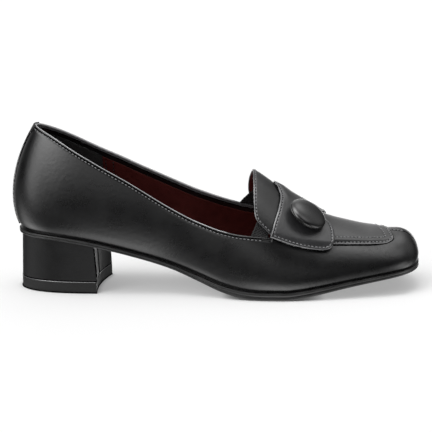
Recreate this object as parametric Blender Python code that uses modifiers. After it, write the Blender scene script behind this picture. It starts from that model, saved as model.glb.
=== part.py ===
"""Loafer pump: a right shoe for a woman, square toe, block heel, saddle strap and covered button.

Frame: +X to the toe, +Z up, -Y the outer (lateral) side. The origin is on the floor, on the
rest face of the heel, below the middle of the heel seat.

Upper, tongue, strap, gores and back strip all lie on one surface, the last. A closed ring of ribs
rises from the feather line, where upper and sole meet, to the ridge over the instep. Ring position
u runs from the back centre (0) along the outer side to the toe (0.5) and back along the inner side
(1). Rib share w runs from the feather line (0) to the ridge (1). Station s is the share of the
last's length, from the back (0) to the toe (1).
"""
import math

import bpy
import bmesh
import numpy as np
from mathutils import Matrix, Vector

# Driving dimensions, in metres

LAST_LENGTH = 0.2515
HEEL_BACK = -0.0321
BALL_HALF_WIDTH = 0.0395
HEEL_RISE = 0.0315
TOE_SPRING = 0.0115
INSTEP_HEIGHT = 0.065
QUARTER_HEIGHT = 0.0655
UPPER_WALL = 0.0018
CLEARANCE = 0.0003
OVERLAY_GAP = 0.0004

SOLE_THICKNESS = 0.0047
SOLE_LIP = 0.0010
INSOLE_THICKNESS = 0.0020
INSOLE_GAP = 0.0006

HEEL_INSET = 0.0008
HEEL_FOOT_WIDTH = 0.905
HEEL_FLARE = 0.0012
BREAST_STATION = 0.2025
BREAST_SKEW = 0.0040
BREAST_DEPTH = 0.0026
BREAST_FACET = 0.0004
HEEL_TIP_THICKNESS = 0.0072
HEEL_TIP_BEVEL = 0.0006
HEEL_TIP_LIP = 0.0002

SADDLE_SKEW = 0.018
SADDLE_SKEW_SPREAD = 1.3
APRON_THICKNESS = 0.0014
STRAP_THICKNESS = 0.0020
STRAP_DROP = 0.06
STRAP_RISE_SHARE = 0.75
STRAP_CROWDING = 1.4
BUTTON_RADIUS = 0.0120
BUTTON_DOME = 0.0034
BUTTON_RIM = 0.0014
BUTTON_RIM_SLOPE = 0.6
BUTTON_SHANK_RADIUS = 0.0030
BUTTON_SHANK_HEIGHT = 0.0016
BUTTON_TILT = math.radians(10.0)
BUTTON_LEAN = math.radians(12.0)
BUTTON_STATION = 0.7105
BUTTON_RIB_SHARE = 0.685
GORE_THICKNESS = 0.0010
GORE_SINK = 0.0003
GORE_GAP = 0.0008
BACK_STRIP_THICKNESS = 0.0010
BACK_STRIP_FOOT = 0.012
BACK_TAB = 0.2
# Stations between which the topline's height passes from the quarter's to the instep's
QUARTER_END = 0.40
INSTEP_START = 0.55
THROAT_START = 0.641
THROAT_END = 0.675

# Ring positions where the back and the toe's corners end, and the run-up to the throat
BACK_END = 0.06
TOE_START = 0.44
THROAT_LEAD = 0.03
# Share of the ball's half width over which the outer side passes into the inner one
SIDE_FADE = 0.35
WELD_DISTANCE = 0.00001

# Counts of ribs, rows and steps
UPPER_RIBS = (8, 13, 3, 6, 8, 11)
UPPER_ROWS = 11
SOLE_RIBS = (8, 26, 11)
HEEL_RIBS = (9, 8)
HEEL_ROWS = 6
BREAST_STEPS = 11
APRON_GRID = (26, 11)
STRAP_GRID = (11, 14)
GORE_GRID = (7, 5)
BACK_STRIP_ROWS = (6, 8)
BACK_STRIP_COLUMNS = 7
BUTTON_STEPS = 30
BUTTON_ARC = 6
RIB_SAMPLES = 401

# Tables: rows along the last, lengths as shares of the named sizes


def table(names, *rows):
    """Rows of numbers as a dictionary of columns."""
    return {name: np.array([row[i] for row in rows]) for i, name in enumerate(names.split())}


OUTLINE = table(
    "s lateral medial",
    (0.010, 0.000, 0.000),
    (0.018, 0.240, 0.250),
    (0.045, 0.450, 0.460),
    (0.083, 0.580, 0.575),
    (0.140, 0.660, 0.630),
    (0.210, 0.685, 0.615),
    (0.300, 0.665, 0.540),
    (0.380, 0.660, 0.490),
    (0.450, 0.735, 0.505),
    (0.520, 0.875, 0.615),
    (0.590, 0.980, 0.775),
    (0.660, 1.010, 0.905),
    (0.730, 0.980, 0.970),
    (0.800, 0.905, 0.955),
    (0.870, 0.805, 0.875),
    (0.930, 0.700, 0.780),
    (0.965, 0.580, 0.670),
    (0.987, 0.400, 0.500),
    (0.997, 0.190, 0.290),
    (1.000, -0.050, 0.050),
)

BOTTOM = table(
    "s rise_lateral rise_medial spring sole",
    (0.00, 1.065, 1.065, 0.00, 0.53),
    (0.10, 1.016, 1.021, 0.00, 0.53),
    (0.18, 0.930, 0.950, 0.00, 0.53),
    (0.25, 0.800, 0.850, 0.00, 0.53),
    (0.32, 0.640, 0.720, 0.00, 0.53),
    (0.39, 0.460, 0.570, 0.00, 0.55),
    (0.46, 0.255, 0.380, 0.00, 0.70),
    (0.52, 0.095, 0.190, 0.00, 0.86),
    (0.57, 0.020, 0.055, 0.00, 0.97),
    (0.61, 0.000, 0.000, 0.00, 1.00),
    (0.67, 0.000, 0.000, 0.00, 1.00),
    (0.70, 0.000, 0.000, 0.06, 0.95),
    (0.74, 0.000, 0.000, 0.19, 0.86),
    (0.82, 0.000, 0.000, 0.48, 0.71),
    (0.90, 0.000, 0.000, 0.72, 0.61),
    (1.00, 0.000, 0.000, 1.00, 0.53),
)

RIDGE = table(
    "s height",
    (0.08, 1.200),
    (0.20, 1.290),
    (0.30, 1.250),
    (0.40, 1.170),
    (0.50, 1.130),
    (0.60, 0.993),
    (0.66, 0.817),
    (0.72, 0.645),
    (0.77, 0.514),
    (0.82, 0.423),
    (0.87, 0.353),
    (0.93, 0.334),
)

RIBS = table(
    "ridge lean_lateral lean_medial push pull fan",
    (0.109, 67, 67, 0.46, 0.31, 90),
    (0.111, 69, 69, 0.46, 0.31, 72),
    (0.117, 74, 74, 0.44, 0.31, 55),
    (0.132, 78, 76, 0.41, 0.32, 36),
    (0.162, 78, 75, 0.38, 0.36, 20),
    (0.215, 76, 72, 0.36, 0.40, 8),
    (0.300, 73, 68, 0.36, 0.48, 0),
    (0.380, 70, 62, 0.36, 0.56, 0),
    (0.450, 70, 60, 0.36, 0.60, 0),
    (0.512, 74, 64, 0.36, 0.60, 0),
    (0.578, 78, 72, 0.36, 0.56, 0),
    (0.642, 80, 78, 0.36, 0.52, 0),
    (0.708, 82, 82, 0.38, 0.52, 0),
    (0.768, 84, 84, 0.42, 0.54, 2),
    (0.825, 86, 86, 0.48, 0.60, 8),
    (0.868, 86, 86, 0.52, 0.62, 20),
    (0.895, 86, 86, 0.54, 0.63, 38),
    (0.915, 85, 85, 0.54, 0.62, 58),
    (0.926, 85, 85, 0.54, 0.62, 76),
    (0.930, 85, 85, 0.54, 0.62, 90),
)

TOPLINE = table(
    "s lateral medial",
    (0.05, 1.000, 1.000),
    (0.10, 0.920, 0.928),
    (0.15, 0.830, 0.850),
    (0.20, 0.755, 0.778),
    (0.25, 0.695, 0.729),
    (0.30, 0.640, 0.684),
    (0.35, 0.580, 0.648),
    (0.40, 0.533, 0.617),
    (0.45, 0.513, 0.599),
    (0.50, 0.515, 0.601),
    (0.55, 0.517, 0.609),
    (0.60, 0.514, 0.607),
    (0.66, 0.484, 0.574),
)

# Apron and tongue: b runs from the lower edge (0) to the ridge (1)
APRON_EDGE = table(
    "s w",
    (0.59, 0.440),
    (0.632, 0.445),
    (0.700, 0.468),
    (0.786, 0.498),
    (0.827, 0.515),
    (0.887, 0.548),
    (0.918, 0.575),
    (0.932, 0.600),
)
APRON_ENDS = table(
    "b rear front",
    (0.00, 0.631, 0.917),
    (0.05, 0.617, 0.929),
    (0.10, 0.603, 0.932),
    (0.16, 0.596, 0.932),
    (0.27, 0.593, 0.931),
    (0.50, 0.591, 0.928),
    (1.00, 0.588, 0.921),
)

STRAP_EDGE = table(
    "s w",
    (0.634, 0.418),
    (0.682, 0.414),
    (0.722, 0.408),
    (0.785, 0.407),
)
STRAP_ENDS = table(
    "b rear front",
    (0.00, 0.631, 0.757),
    (0.03, 0.632, 0.772),
    (0.10, 0.635, 0.781),
    (0.22, 0.640, 0.785),
    (0.42, 0.647, 0.783),
    (0.67, 0.651, 0.770),
    (0.88, 0.643, 0.751),
    (1.00, 0.634, 0.743),
)

# Gore: corners above the topline, under the tongue
GORE_LATERAL = {"s": (0.590, 0.637), "top_s": (0.604, 0.627), "top_w": (0.520, 0.500)}
GORE_MEDIAL = {"s": (0.560, 0.637), "top_s": (0.592, 0.625), "top_w": (0.590, 0.520)}

BACK_STRIP = table(
    "drop half",
    (0.00, 0.020),
    (0.05, 0.017),
    (0.13, 0.008),
    (0.30, 0.006),
    (1.00, 0.0035),
)

# Section of the sole's edge, top to bottom: share of the lip, share of the thickness
SOLE_EDGE = table(
    "lip drop",
    (0.70, 0.00),
    (1.00, 0.12),
    (1.00, 0.42),
    (0.55, 0.47),
    (0.55, 0.54),
    (0.85, 0.60),
    (0.80, 0.88),
    (0.40, 1.00),
)
INSOLE_EDGE = table(
    "lip drop",
    (1.20, 0.00),
    (1.00, 0.20),
    (1.00, 1.00),
)

MATERIALS = {
    "leather": ((0.012, 0.012, 0.013), 0.38, 0.0),
    "lining": ((0.050, 0.010, 0.012), 0.65, 0.0),
    "elastic": ((0.015, 0.015, 0.015), 0.85, 0.0),
    "sole": ((0.018, 0.018, 0.018), 0.60, 0.0),
    "heel": ((0.014, 0.014, 0.014), 0.50, 0.0),
    "rubber": ((0.016, 0.016, 0.016), 0.75, 0.0),
}


def spline(knots, values, at):
    """Natural cubic spline through rows of values."""
    knots = np.asarray(knots, float)
    values = np.asarray(values, float)
    at = np.asarray(at, float)
    gaps = np.diff(knots)
    tail = (1,) * (values.ndim - 1)
    slopes = np.diff(values, axis=0) / gaps.reshape((-1,) + tail)
    inner = np.arange(1, len(knots) - 1)
    matrix = np.eye(len(knots))
    matrix[inner, inner - 1] = gaps[:-1]
    matrix[inner, inner] = 2.0 * (gaps[:-1] + gaps[1:])
    matrix[inner, inner + 1] = gaps[1:]
    right = np.zeros_like(values)
    right[1:-1] = 6.0 * np.diff(slopes, axis=0)
    bend = np.linalg.solve(matrix, right)
    cell = np.clip(np.searchsorted(knots, at) - 1, 0, len(knots) - 2)
    gap = gaps[cell].reshape(at.shape + tail)
    a = (knots[cell + 1] - at).reshape(at.shape + tail) / gap
    b = 1.0 - a
    curve = (a ** 3 - a) * bend[cell] + (b ** 3 - b) * bend[cell + 1]
    return a * values[cell] + b * values[cell + 1] + curve * gap ** 2 / 6.0


def steady(knots, values, at, level_end=False):
    """Piecewise cubic through the knots that never overshoots them; level_end ends it flat."""
    at = np.clip(at, knots[0], knots[-1])
    gaps = np.diff(knots)
    slopes = np.diff(values) / gaps
    tangents = np.concatenate((slopes[:1], np.zeros(len(knots) - 2), slopes[-1:]))
    same = slopes[:-1] * slopes[1:] > 0
    means = 2.0 * slopes[:-1][same] * slopes[1:][same] / (slopes[:-1] + slopes[1:])[same]
    tangents[1:-1][same] = means
    if level_end:
        tangents[-1] = 0.0
    cell = np.clip(np.searchsorted(knots, at) - 1, 0, len(knots) - 2)
    t = (at - knots[cell]) / gaps[cell]
    start = (1 + 2 * t) * (1 - t) ** 2 * values[cell] + t * (1 - t) ** 2 * gaps[cell] * tangents[cell]
    end = t ** 2 * (3 - 2 * t) * values[cell + 1] + t ** 2 * (t - 1) * gaps[cell] * tangents[cell + 1]
    return start + end


def smooth(t):
    """Smooth step from 0 to 1."""
    t = np.clip(t, 0.0, 1.0)
    return t * t * (3.0 - 2.0 * t)


def x_at(s):
    """X of station s."""
    return HEEL_BACK + LAST_LENGTH * s


def station_of(x):
    """Station of the place x."""
    return (x - HEEL_BACK) / LAST_LENGTH


def feather_height(s, side):
    """Height of the last's bottom at station s; side runs from -1 (lateral) to 1 (medial)."""
    s = np.clip(s, 0.0, 1.0)
    lateral = steady(BOTTOM["s"], BOTTOM["rise_lateral"], s)
    medial = steady(BOTTOM["s"], BOTTOM["rise_medial"], s)
    spring = steady(BOTTOM["s"], BOTTOM["spring"], s)
    mix = (np.clip(side, -1.0, 1.0) + 1.0) / 2.0
    rise = lateral * (1.0 - mix) + medial * mix
    return SOLE_THICKNESS + CLEARANCE + HEEL_RISE * rise + TOE_SPRING * spring


def sole_height(s, side):
    """Height of the outsole's underside."""
    thickness = SOLE_THICKNESS * steady(BOTTOM["s"], BOTTOM["sole"], np.clip(s, 0.0, 1.0))
    return feather_height(s, side) - CLEARANCE - thickness


def ring_columns():
    """Columns of the closed ring of ribs: station, width, ridge, lean, push, pull and fan."""
    def half(sign, width, lean):
        return np.stack((OUTLINE["s"], sign * OUTLINE[width], RIBS["ridge"], RIBS[lean],
                         RIBS["push"], RIBS["pull"], RIBS["fan"]), 1)
    lateral = half(-1.0, "lateral", "lean_lateral")
    medial = half(1.0, "medial", "lean_medial")
    return lateral, medial


def ring_knots(lateral, medial):
    """Ring positions of the rows, the same for both sides: 0 at the back and 0.5 at the toe."""
    scale = (LAST_LENGTH, BALL_HALF_WIDTH)
    steps = [np.linalg.norm(np.diff(side[:, :2] * scale, axis=0), axis=1) for side in (lateral, medial)]
    total = np.concatenate(([0.0], np.cumsum(steps[0] + steps[1])))
    return 0.5 * total / total[-1]


LATERAL_ROWS, MEDIAL_ROWS = ring_columns()
HALF_KNOTS = ring_knots(LATERAL_ROWS, MEDIAL_ROWS)
RING_ROWS = np.concatenate((LATERAL_ROWS, MEDIAL_ROWS[-2:0:-1]))
RING_KNOTS = np.concatenate((HALF_KNOTS, 1.0 - HALF_KNOTS[-2:0:-1]))
WRAP = 5
CLOSED_KNOTS = np.concatenate((RING_KNOTS[-WRAP:] - 1.0, RING_KNOTS, RING_KNOTS[:WRAP] + 1.0))
CLOSED_ROWS = np.concatenate((RING_ROWS[-WRAP:], RING_ROWS, RING_ROWS[:WRAP]))


def ring(u):
    """Interpolated columns of the ring at positions u."""
    return spline(CLOSED_KNOTS, CLOSED_ROWS, np.mod(u, 1.0))


def ring_of_station(s):
    """Lateral ring position of the feather point at station s; the medial one is 1 minus it."""
    return np.interp(s, OUTLINE["s"], HALF_KNOTS)


def ridge_points(s):
    """Points of the ridge at stations s."""
    height = spline(RIDGE["s"], RIDGE["height"], s)
    return np.stack((x_at(s), np.zeros_like(s), feather_height(s, 0.0) + INSTEP_HEIGHT * height), -1)


def outward(u):
    """Plan direction that points out of the outline at ring positions u."""
    step = 1e-4
    run = (ring(u + step) - ring(u - step))[:, :2] * (LAST_LENGTH, BALL_HALF_WIDTH)
    out = np.stack((run[:, 1], -run[:, 0]), 1)
    return out / np.linalg.norm(out, axis=1)[:, None]


def side_of(y):
    """Side value (-1 lateral to 1 medial) that fades over the middle of the shoe."""
    return np.tanh(y / (SIDE_FADE * BALL_HALF_WIDTH))


def outline_points(u, grow=0.0):
    """Points of the feather line at ring positions u, moved outward in plan by grow."""
    columns = ring(u)
    y = BALL_HALF_WIDTH * columns[:, 1]
    points = np.stack((x_at(columns[:, 0]), y, feather_height(columns[:, 0], side_of(y))), 1)
    points[:, :2] += grow * outward(u)
    return points


def rib_controls(u):
    """The four Bezier points of each rib at ring positions u: an array (n, 4, 3)."""
    u = np.mod(u, 1.0)
    columns = ring(u)
    foot = outline_points(u)
    out = outward(u)
    top = ridge_points(columns[:, 2])
    lean = np.radians(columns[:, 3])
    push = (columns[:, 4] * (top[:, 2] - foot[:, 2]))[:, None]
    start = foot + push * np.stack((np.cos(lean) * out[:, 0], np.cos(lean) * out[:, 1], np.sin(lean)), 1)
    step = 1e-3
    along = ridge_points(columns[:, 2] + step) - ridge_points(columns[:, 2] - step)
    along /= np.linalg.norm(along, axis=1)[:, None]
    fan = np.radians(columns[:, 6])
    heading = np.where(columns[:, 0] > 0.5, 1.0, -1.0)
    sideways = np.where(u < 0.5, -1.0, 1.0)
    across = np.stack((np.zeros_like(u), sideways, np.zeros_like(u)), 1)
    leave = (np.sin(fan) * heading)[:, None] * along + np.cos(fan)[:, None] * across
    reach = np.linalg.norm(foot[:, :2] - top[:, :2], axis=1)
    end = top + (columns[:, 5] * reach)[:, None] * leave
    return np.stack((foot, start, end, top), 1)


def bezier(controls, w):
    """Points of the ribs at shares w."""
    w = w[..., None]
    b = [controls[..., i, :] for i in range(4)]
    early = (1 - w) ** 3 * b[0] + 3 * (1 - w) ** 2 * w * b[1]
    return early + 3 * (1 - w) * w ** 2 * b[2] + w ** 3 * b[3]


def last_points(u, w, offset=0.0):
    """Points of the last at ring positions u and rib shares w (same shapes), lifted by offset."""
    u, w = np.broadcast_arrays(np.asarray(u, float), np.asarray(w, float))
    flat_u, flat_w = u.ravel(), w.ravel()
    points = bezier(rib_controls(flat_u), flat_w)
    if np.any(offset):
        points = points + np.broadcast_to(offset, u.shape).ravel()[:, None] * last_normals(flat_u, flat_w)
    return points.reshape(u.shape + (3,))


def last_normals(u, w):
    """Outward unit normals of the last."""
    step = 1e-4
    w = np.clip(w, 0.0, 1.0 - 2.0 * step)
    middle = np.isclose(u, 0.5, atol=step) | np.isclose(np.mod(u, 1.0), 0.0, atol=step)
    around = last_points(u + step, w) - last_points(u - step, w)
    up = last_points(u, w + step) - last_points(u, np.maximum(w - step, 0.0))
    normal = np.cross(around, up)
    normal /= np.linalg.norm(normal, axis=-1)[..., None]
    crest = (w > 1.0 - 3.0 * step) | middle
    normal[crest, 1] = 0.0
    return normal / np.linalg.norm(normal, axis=-1)[..., None]


def ring_at(s, w, side):
    """Ring positions at which the last reaches station s at rib share w, on one side."""
    s, w = np.broadcast_arrays(np.asarray(s, float), np.asarray(w, float))
    low, high = np.zeros(s.shape), np.full(s.shape, 0.5)
    for _ in range(26):
        middle = (low + high) / 2.0
        u = middle if side == "lateral" else 1.0 - middle
        short = station_of(last_points(u, w)[..., 0]) < s
        low, high = np.where(short, middle, low), np.where(short, high, middle)
    middle = (low + high) / 2.0
    return middle if side == "lateral" else 1.0 - middle


def topline_share(u):
    """Rib share at which each rib meets the topline."""
    w = np.linspace(0.0, 1.0, RIB_SAMPLES)
    points = last_points(u[:, None], w[None, :])
    s = station_of(points[..., 0])
    mix = (side_of(points[..., 1]) + 1.0) / 2.0
    s_table = np.clip(s, TOPLINE["s"][0], TOPLINE["s"][-1])
    lateral = spline(TOPLINE["s"], TOPLINE["lateral"], s_table)
    medial = spline(TOPLINE["s"], TOPLINE["medial"], s_table)
    front = smooth((s_table - QUARTER_END) / (INSTEP_START - QUARTER_END))
    wall = QUARTER_HEIGHT * (1.0 - front) + INSTEP_HEIGHT * front
    height = wall * (lateral * (1.0 - mix) + medial * mix) + feather_height(s, 2.0 * mix - 1.0)
    over = points[..., 2] - height
    first = np.maximum(np.argmax(over > 0.0, axis=1), 1)
    rows = np.arange(len(u))
    before, after = over[rows, first - 1], over[rows, first]
    return w[first - 1] + (w[1] - w[0]) * before / (before - after)


def upper_edge(u):
    """Rib share of the upper's top edge: the topline, then the throat over the ridge."""
    side_u = np.minimum(u, 1.0 - u)
    start, end = ring_of_station(THROAT_START), ring_of_station(THROAT_END)
    rise = smooth((side_u - start) / (end - start))
    level = topline_share(np.where(u <= 0.5, np.minimum(u, start), np.maximum(u, 1.0 - start)))
    return level + (1.0 - level) * rise


def new_collection(name):
    """A collection linked to the scene."""
    collection = bpy.data.collections.new(name)
    bpy.context.scene.collection.children.link(collection)
    return collection


def new_material(name):
    """Principled material of one sub-part."""
    colour, roughness, metallic = MATERIALS[name]
    material = bpy.data.materials.new(name)
    material.use_nodes = True
    shader = material.node_tree.nodes["Principled BSDF"]
    shader.inputs["Base Color"].default_value = (*colour, 1.0)
    shader.inputs["Roughness"].default_value = roughness
    shader.inputs["Metallic"].default_value = metallic
    return material


def add_object(name, points, faces, material, collection, smooth_angle=40.0):
    """Object from points and faces, shaded smooth where its faces meet softly."""
    mesh = bpy.data.meshes.new(name)
    mesh.from_pydata([tuple(p) for p in np.asarray(points, float)], [], faces)
    mesh.validate()
    mesh.update()
    mesh.materials.append(new_material(material))
    mesh.shade_smooth()
    mesh.set_sharp_from_angle(angle=math.radians(smooth_angle))
    obj = bpy.data.objects.new(name, mesh)
    collection.objects.link(obj)
    return obj


def grid_faces(rows, columns):
    """Quads of an open grid stored row by row."""
    return [(r * columns + c, (r + 1) * columns + c, (r + 1) * columns + c + 1, r * columns + c + 1)
            for r in range(rows - 1) for c in range(columns - 1)]


def weld(obj):
    """Join points that coincide, as where both halves of the vamp meet on the ridge."""
    mesh = bmesh.new()
    mesh.from_mesh(obj.data)
    bmesh.ops.remove_doubles(mesh, verts=mesh.verts, dist=WELD_DISTANCE)
    bmesh.ops.dissolve_degenerate(mesh, edges=mesh.edges, dist=WELD_DISTANCE)
    mesh.to_mesh(obj.data)
    mesh.free()
    return obj


def turn_faces(obj, measure):
    """Make the faces of an object agree, and turn them all where the measure is negative."""
    mesh = bmesh.new()
    mesh.from_mesh(obj.data)
    bmesh.ops.recalc_face_normals(mesh, faces=mesh.faces)
    if measure(mesh) < 0.0:
        bmesh.ops.reverse_faces(mesh, faces=mesh.faces)
    mesh.to_mesh(obj.data)
    mesh.free()
    return obj


def enclosed(mesh):
    """Volume of a closed body, positive when its faces look out."""
    return mesh.calc_volume(signed=True)


def away_from_middle(mesh):
    """How far the faces of an open skin look away from its middle."""
    middle = sum((v.co for v in mesh.verts), Vector()) / len(mesh.verts)
    return sum((face.calc_center_median() - middle).dot(face.normal) * face.calc_area()
               for face in mesh.faces)


def toward(direction):
    """Measure of how far the faces of an open skin look along a direction."""
    return lambda mesh: sum(Vector(direction).dot(face.normal) * face.calc_area() for face in mesh.faces)


def thicken(obj, thickness):
    """Wall of the given thickness on the inner side of an open surface."""
    solid = obj.modifiers.new("Wall", "SOLIDIFY")
    solid.thickness = thickness
    solid.offset = -1.0
    solid.use_rim = True
    solid.use_even_offset = True
    return obj


def spaced(places, counts):
    """Positions from the first place to the last, with a count of steps from each to the next."""
    parts = [np.linspace(start, end, count, endpoint=False)
             for start, end, count in zip(places, places[1:], counts)]
    return np.concatenate(parts + [[places[-1]]])


def both_sides(half):
    """Ring positions of the whole ring from the lateral ones, in order."""
    return np.concatenate((half, 1.0 - half[-2:0:-1]))


def side_ribs():
    """Ring positions of the upper's lateral ribs, closer at the back, the throat and the toe."""
    start, end = ring_of_station(THROAT_START), ring_of_station(THROAT_END)
    places = (0.0, BACK_END, start - THROAT_LEAD, start, end, TOE_START, 0.5)
    return spaced(places, UPPER_RIBS)


def build_upper(collection):
    """Vamp and quarters as one hollow wall, open at the collar, the throat and underneath."""
    u = both_sides(side_ribs())
    levels = np.linspace(0.0, 1.0, UPPER_ROWS)
    points = last_points(u[:, None], upper_edge(u)[:, None] * levels[None, :])
    last = (len(u) - 1) * UPPER_ROWS
    faces = grid_faces(len(u), UPPER_ROWS)
    faces += [(last + j, j, j + 1, last + j + 1) for j in range(UPPER_ROWS - 1)]
    obj = weld(add_object("upper", points.reshape(-1, 3), faces, "leather", collection))
    return thicken(turn_faces(obj, away_from_middle), UPPER_WALL)


def saddle_grid(edge, ends, counts, crowding, lift):
    """Open skin over the ridge, from the lateral edge to the medial one.

    A crowding over 1 brings the rows together at the edges. lift gives the offset from the last
    for arrays of stations and rib shares.
    """
    along = np.linspace(0.0, 1.0, counts[0])
    across = np.linspace(0.0, 1.0, counts[1]) ** crowding
    rear = steady(ends["b"], ends["rear"], across, level_end=True)
    front = steady(ends["b"], ends["front"], across, level_end=True)
    halves = []
    for side in ("lateral", "medial"):
        skew = 0.0
        if side == "medial":
            skew = SADDLE_SKEW * smooth(SADDLE_SKEW_SPREAD * (1.0 - across))
        s = rear[None, :] + along[:, None] * (front - rear)[None, :] - skew
        base = steady(edge["s"], edge["w"], s)
        w = base + (1.0 - base) * across[None, :]
        u = ring_at(s, w, side)
        halves.append(last_points(u, w, lift(s, w)))
    middle = (halves[0][:, -1:] + halves[1][:, -1:]) / 2.0
    middle[..., 1] = 0.0
    points = np.concatenate((halves[0][:, :-1], middle, halves[1][:, -2::-1]), axis=1)
    return points, grid_faces(points.shape[0], points.shape[1])


def apron_lift(s, w):
    """Offset of the apron's outer face."""
    return np.full(s.shape, OVERLAY_GAP + APRON_THICKNESS)


def strap_lift(s, w):
    """Offset of the strap's outer face: over the apron, then down onto the vamp."""
    edge = steady(APRON_EDGE["s"], APRON_EDGE["w"], s)
    over = smooth((w - edge + STRAP_DROP) / (STRAP_RISE_SHARE * STRAP_DROP))
    inner = OVERLAY_GAP + (OVERLAY_GAP + APRON_THICKNESS) * over
    return inner + STRAP_THICKNESS


def build_apron(collection):
    """Raised apron that runs back under the strap into the tongue."""
    points, faces = saddle_grid(APRON_EDGE, APRON_ENDS, APRON_GRID, 1.0, apron_lift)
    obj = add_object("apron_tongue", points.reshape(-1, 3), faces, "leather", collection)
    return thicken(turn_faces(obj, away_from_middle), APRON_THICKNESS)


def build_strap(collection):
    """Saddle strap over the apron, down to both sides of the vamp."""
    points, faces = saddle_grid(STRAP_EDGE, STRAP_ENDS, STRAP_GRID, STRAP_CROWDING, strap_lift)
    obj = add_object("saddle_strap", points.reshape(-1, 3), faces, "leather", collection)
    return thicken(turn_faces(obj, away_from_middle), STRAP_THICKNESS)


def build_gore(side, corners, collection):
    """Elastic insert between the quarter's topline and the tongue."""
    along = np.linspace(0.0, 1.0, GORE_GRID[0])
    up = np.linspace(0.0, 1.0, GORE_GRID[1])
    foot_u = ring_of_station(corners["s"][0] + along * (corners["s"][1] - corners["s"][0]))
    look = (0.0, -1.0, 0.0)
    if side == "medial":
        foot_u = 1.0 - foot_u
        look = (0.0, 1.0, 0.0)
    controls = rib_controls(foot_u)
    rib_length = np.linalg.norm(controls[:, 3] - controls[:, 0], axis=1)
    foot_w = upper_edge(foot_u) + GORE_GAP / rib_length
    top_s = corners["top_s"][0] + along * (corners["top_s"][1] - corners["top_s"][0])
    top_w = corners["top_w"][0] + along * (corners["top_w"][1] - corners["top_w"][0])
    top_u = ring_at(top_s, top_w, side)
    u = foot_u[:, None] + (top_u - foot_u)[:, None] * up[None, :]
    w = foot_w[:, None] + (top_w - foot_w)[:, None] * up[None, :]
    points = last_points(u, w, -GORE_SINK)
    obj = add_object("gore_" + side, points.reshape(-1, 3), grid_faces(*GORE_GRID), "elastic", collection)
    return thicken(turn_faces(obj, toward(look)), GORE_THICKNESS)


def build_back_strip(collection):
    """Narrow strip over the back seam, widening into a tab at the top."""
    drop = spaced((0.0, BACK_TAB, 1.0), BACK_STRIP_ROWS)
    across = np.linspace(-1.0, 1.0, BACK_STRIP_COLUMNS)
    u = steady(BACK_STRIP["drop"], BACK_STRIP["half"], drop)[:, None] * across[None, :]
    top = upper_edge(np.mod(u, 1.0).ravel()).reshape(u.shape)
    w = top + (BACK_STRIP_FOOT - top) * drop[:, None]
    points = last_points(u, w, CLEARANCE + BACK_STRIP_THICKNESS)
    obj = add_object("back_strip", points.reshape(-1, 3), grid_faces(len(drop), len(across)),
                     "leather", collection)
    return thicken(turn_faces(obj, toward((-1.0, 0.0, 0.0))), BACK_STRIP_THICKNESS)


def slab(name, edge, lip, top_lift, thickness, material, collection):
    """Plate that follows the last's bottom, with a shaped edge.

    lip is the outward reach of the edge's widest point, thickness a function of station and side.
    """
    u = both_sides(spaced((0.0, BACK_END, TOE_START, 0.5), SOLE_RIBS))
    count = len(u)
    plain = outline_points(u)
    s = station_of(plain[:, 0])
    side = side_of(plain[:, 1])
    out = outward(u)
    rings = []
    for share, drop in zip(edge["lip"], edge["drop"]):
        level = plain.copy()
        level[:, :2] += lip * share * out
        level[:, 2] += top_lift - drop * thickness(s, side)
        rings.append(level)
    low = (len(rings) - 1) * count
    faces = loft_faces(len(rings), count) + ladder(count, 0) + ladder(count, low)
    obj = add_object(name, np.concatenate(rings), faces, material, collection)
    return turn_faces(obj, enclosed)


def loft_faces(levels, count):
    """Quads between closed rings of count points, level by level."""
    faces = []
    for base in range(0, (levels - 1) * count, count):
        for i in range(count):
            j = (i + 1) % count
            faces.append((base + i, base + count + i, base + count + j, base + j))
    return faces


def ladder(count, base):
    """Faces of a cap: rungs between ring points that stand at the same station."""
    half = count // 2
    faces = [(base, base + 1, base + count - 1)]
    for i in range(1, half - 1):
        faces.append((base + i, base + i + 1, base + count - i - 1, base + count - i))
    faces.append((base + half - 1, base + half, base + half + 1))
    return faces


def build_outsole(collection):
    """Outsole with the last's outline, arch and toe spring, and a grooved edge."""
    def thickness(s, side):
        return feather_height(s, side) - CLEARANCE - sole_height(s, side)
    return slab("outsole", SOLE_EDGE, SOLE_LIP, -CLEARANCE, thickness, "sole", collection)


def build_insole(collection):
    """Insole on the outsole, inside the upper's wall."""
    def thickness(s, side):
        return np.full(s.shape, INSOLE_THICKNESS)
    inset = -(UPPER_WALL + INSOLE_GAP)
    return slab("insole", INSOLE_EDGE, inset, CLEARANCE + INSOLE_THICKNESS, thickness, "lining",
                collection)


def heel_plan(inset):
    """Plan of the heel: back, sides, corner facets and hollow breast.

    Returns points (n, 2) from the back centre along the lateral side, across the breast and back
    along the medial side, and the count of points on each side up to the breast.
    """
    half = spaced((0.0, BACK_END, ring_of_station(BREAST_STATION)), HEEL_RIBS)
    lateral = outline_points(half, -inset)[:, :2]
    medial = outline_points(1.0 - half[1:], -inset)[:, :2]
    medial[:, 0] += BREAST_SKEW * smooth((medial[:, 0] - medial[0, 0]) / (medial[-1, 0] - medial[0, 0]))
    span = medial[-1] - lateral[-1]
    share = BREAST_FACET / np.linalg.norm(span)
    t = share + (1.0 - 2.0 * share) * np.linspace(0.0, 1.0, BREAST_STEPS)
    breast = lateral[-1] + span * t[:, None]
    breast[:, 0] -= BREAST_DEPTH * (1.0 - np.linspace(-1.0, 1.0, BREAST_STEPS) ** 2)
    lateral[-1, 0] -= BREAST_FACET
    medial[-1, 0] -= BREAST_FACET
    return np.concatenate((lateral, breast, medial[::-1])), len(half)


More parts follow.
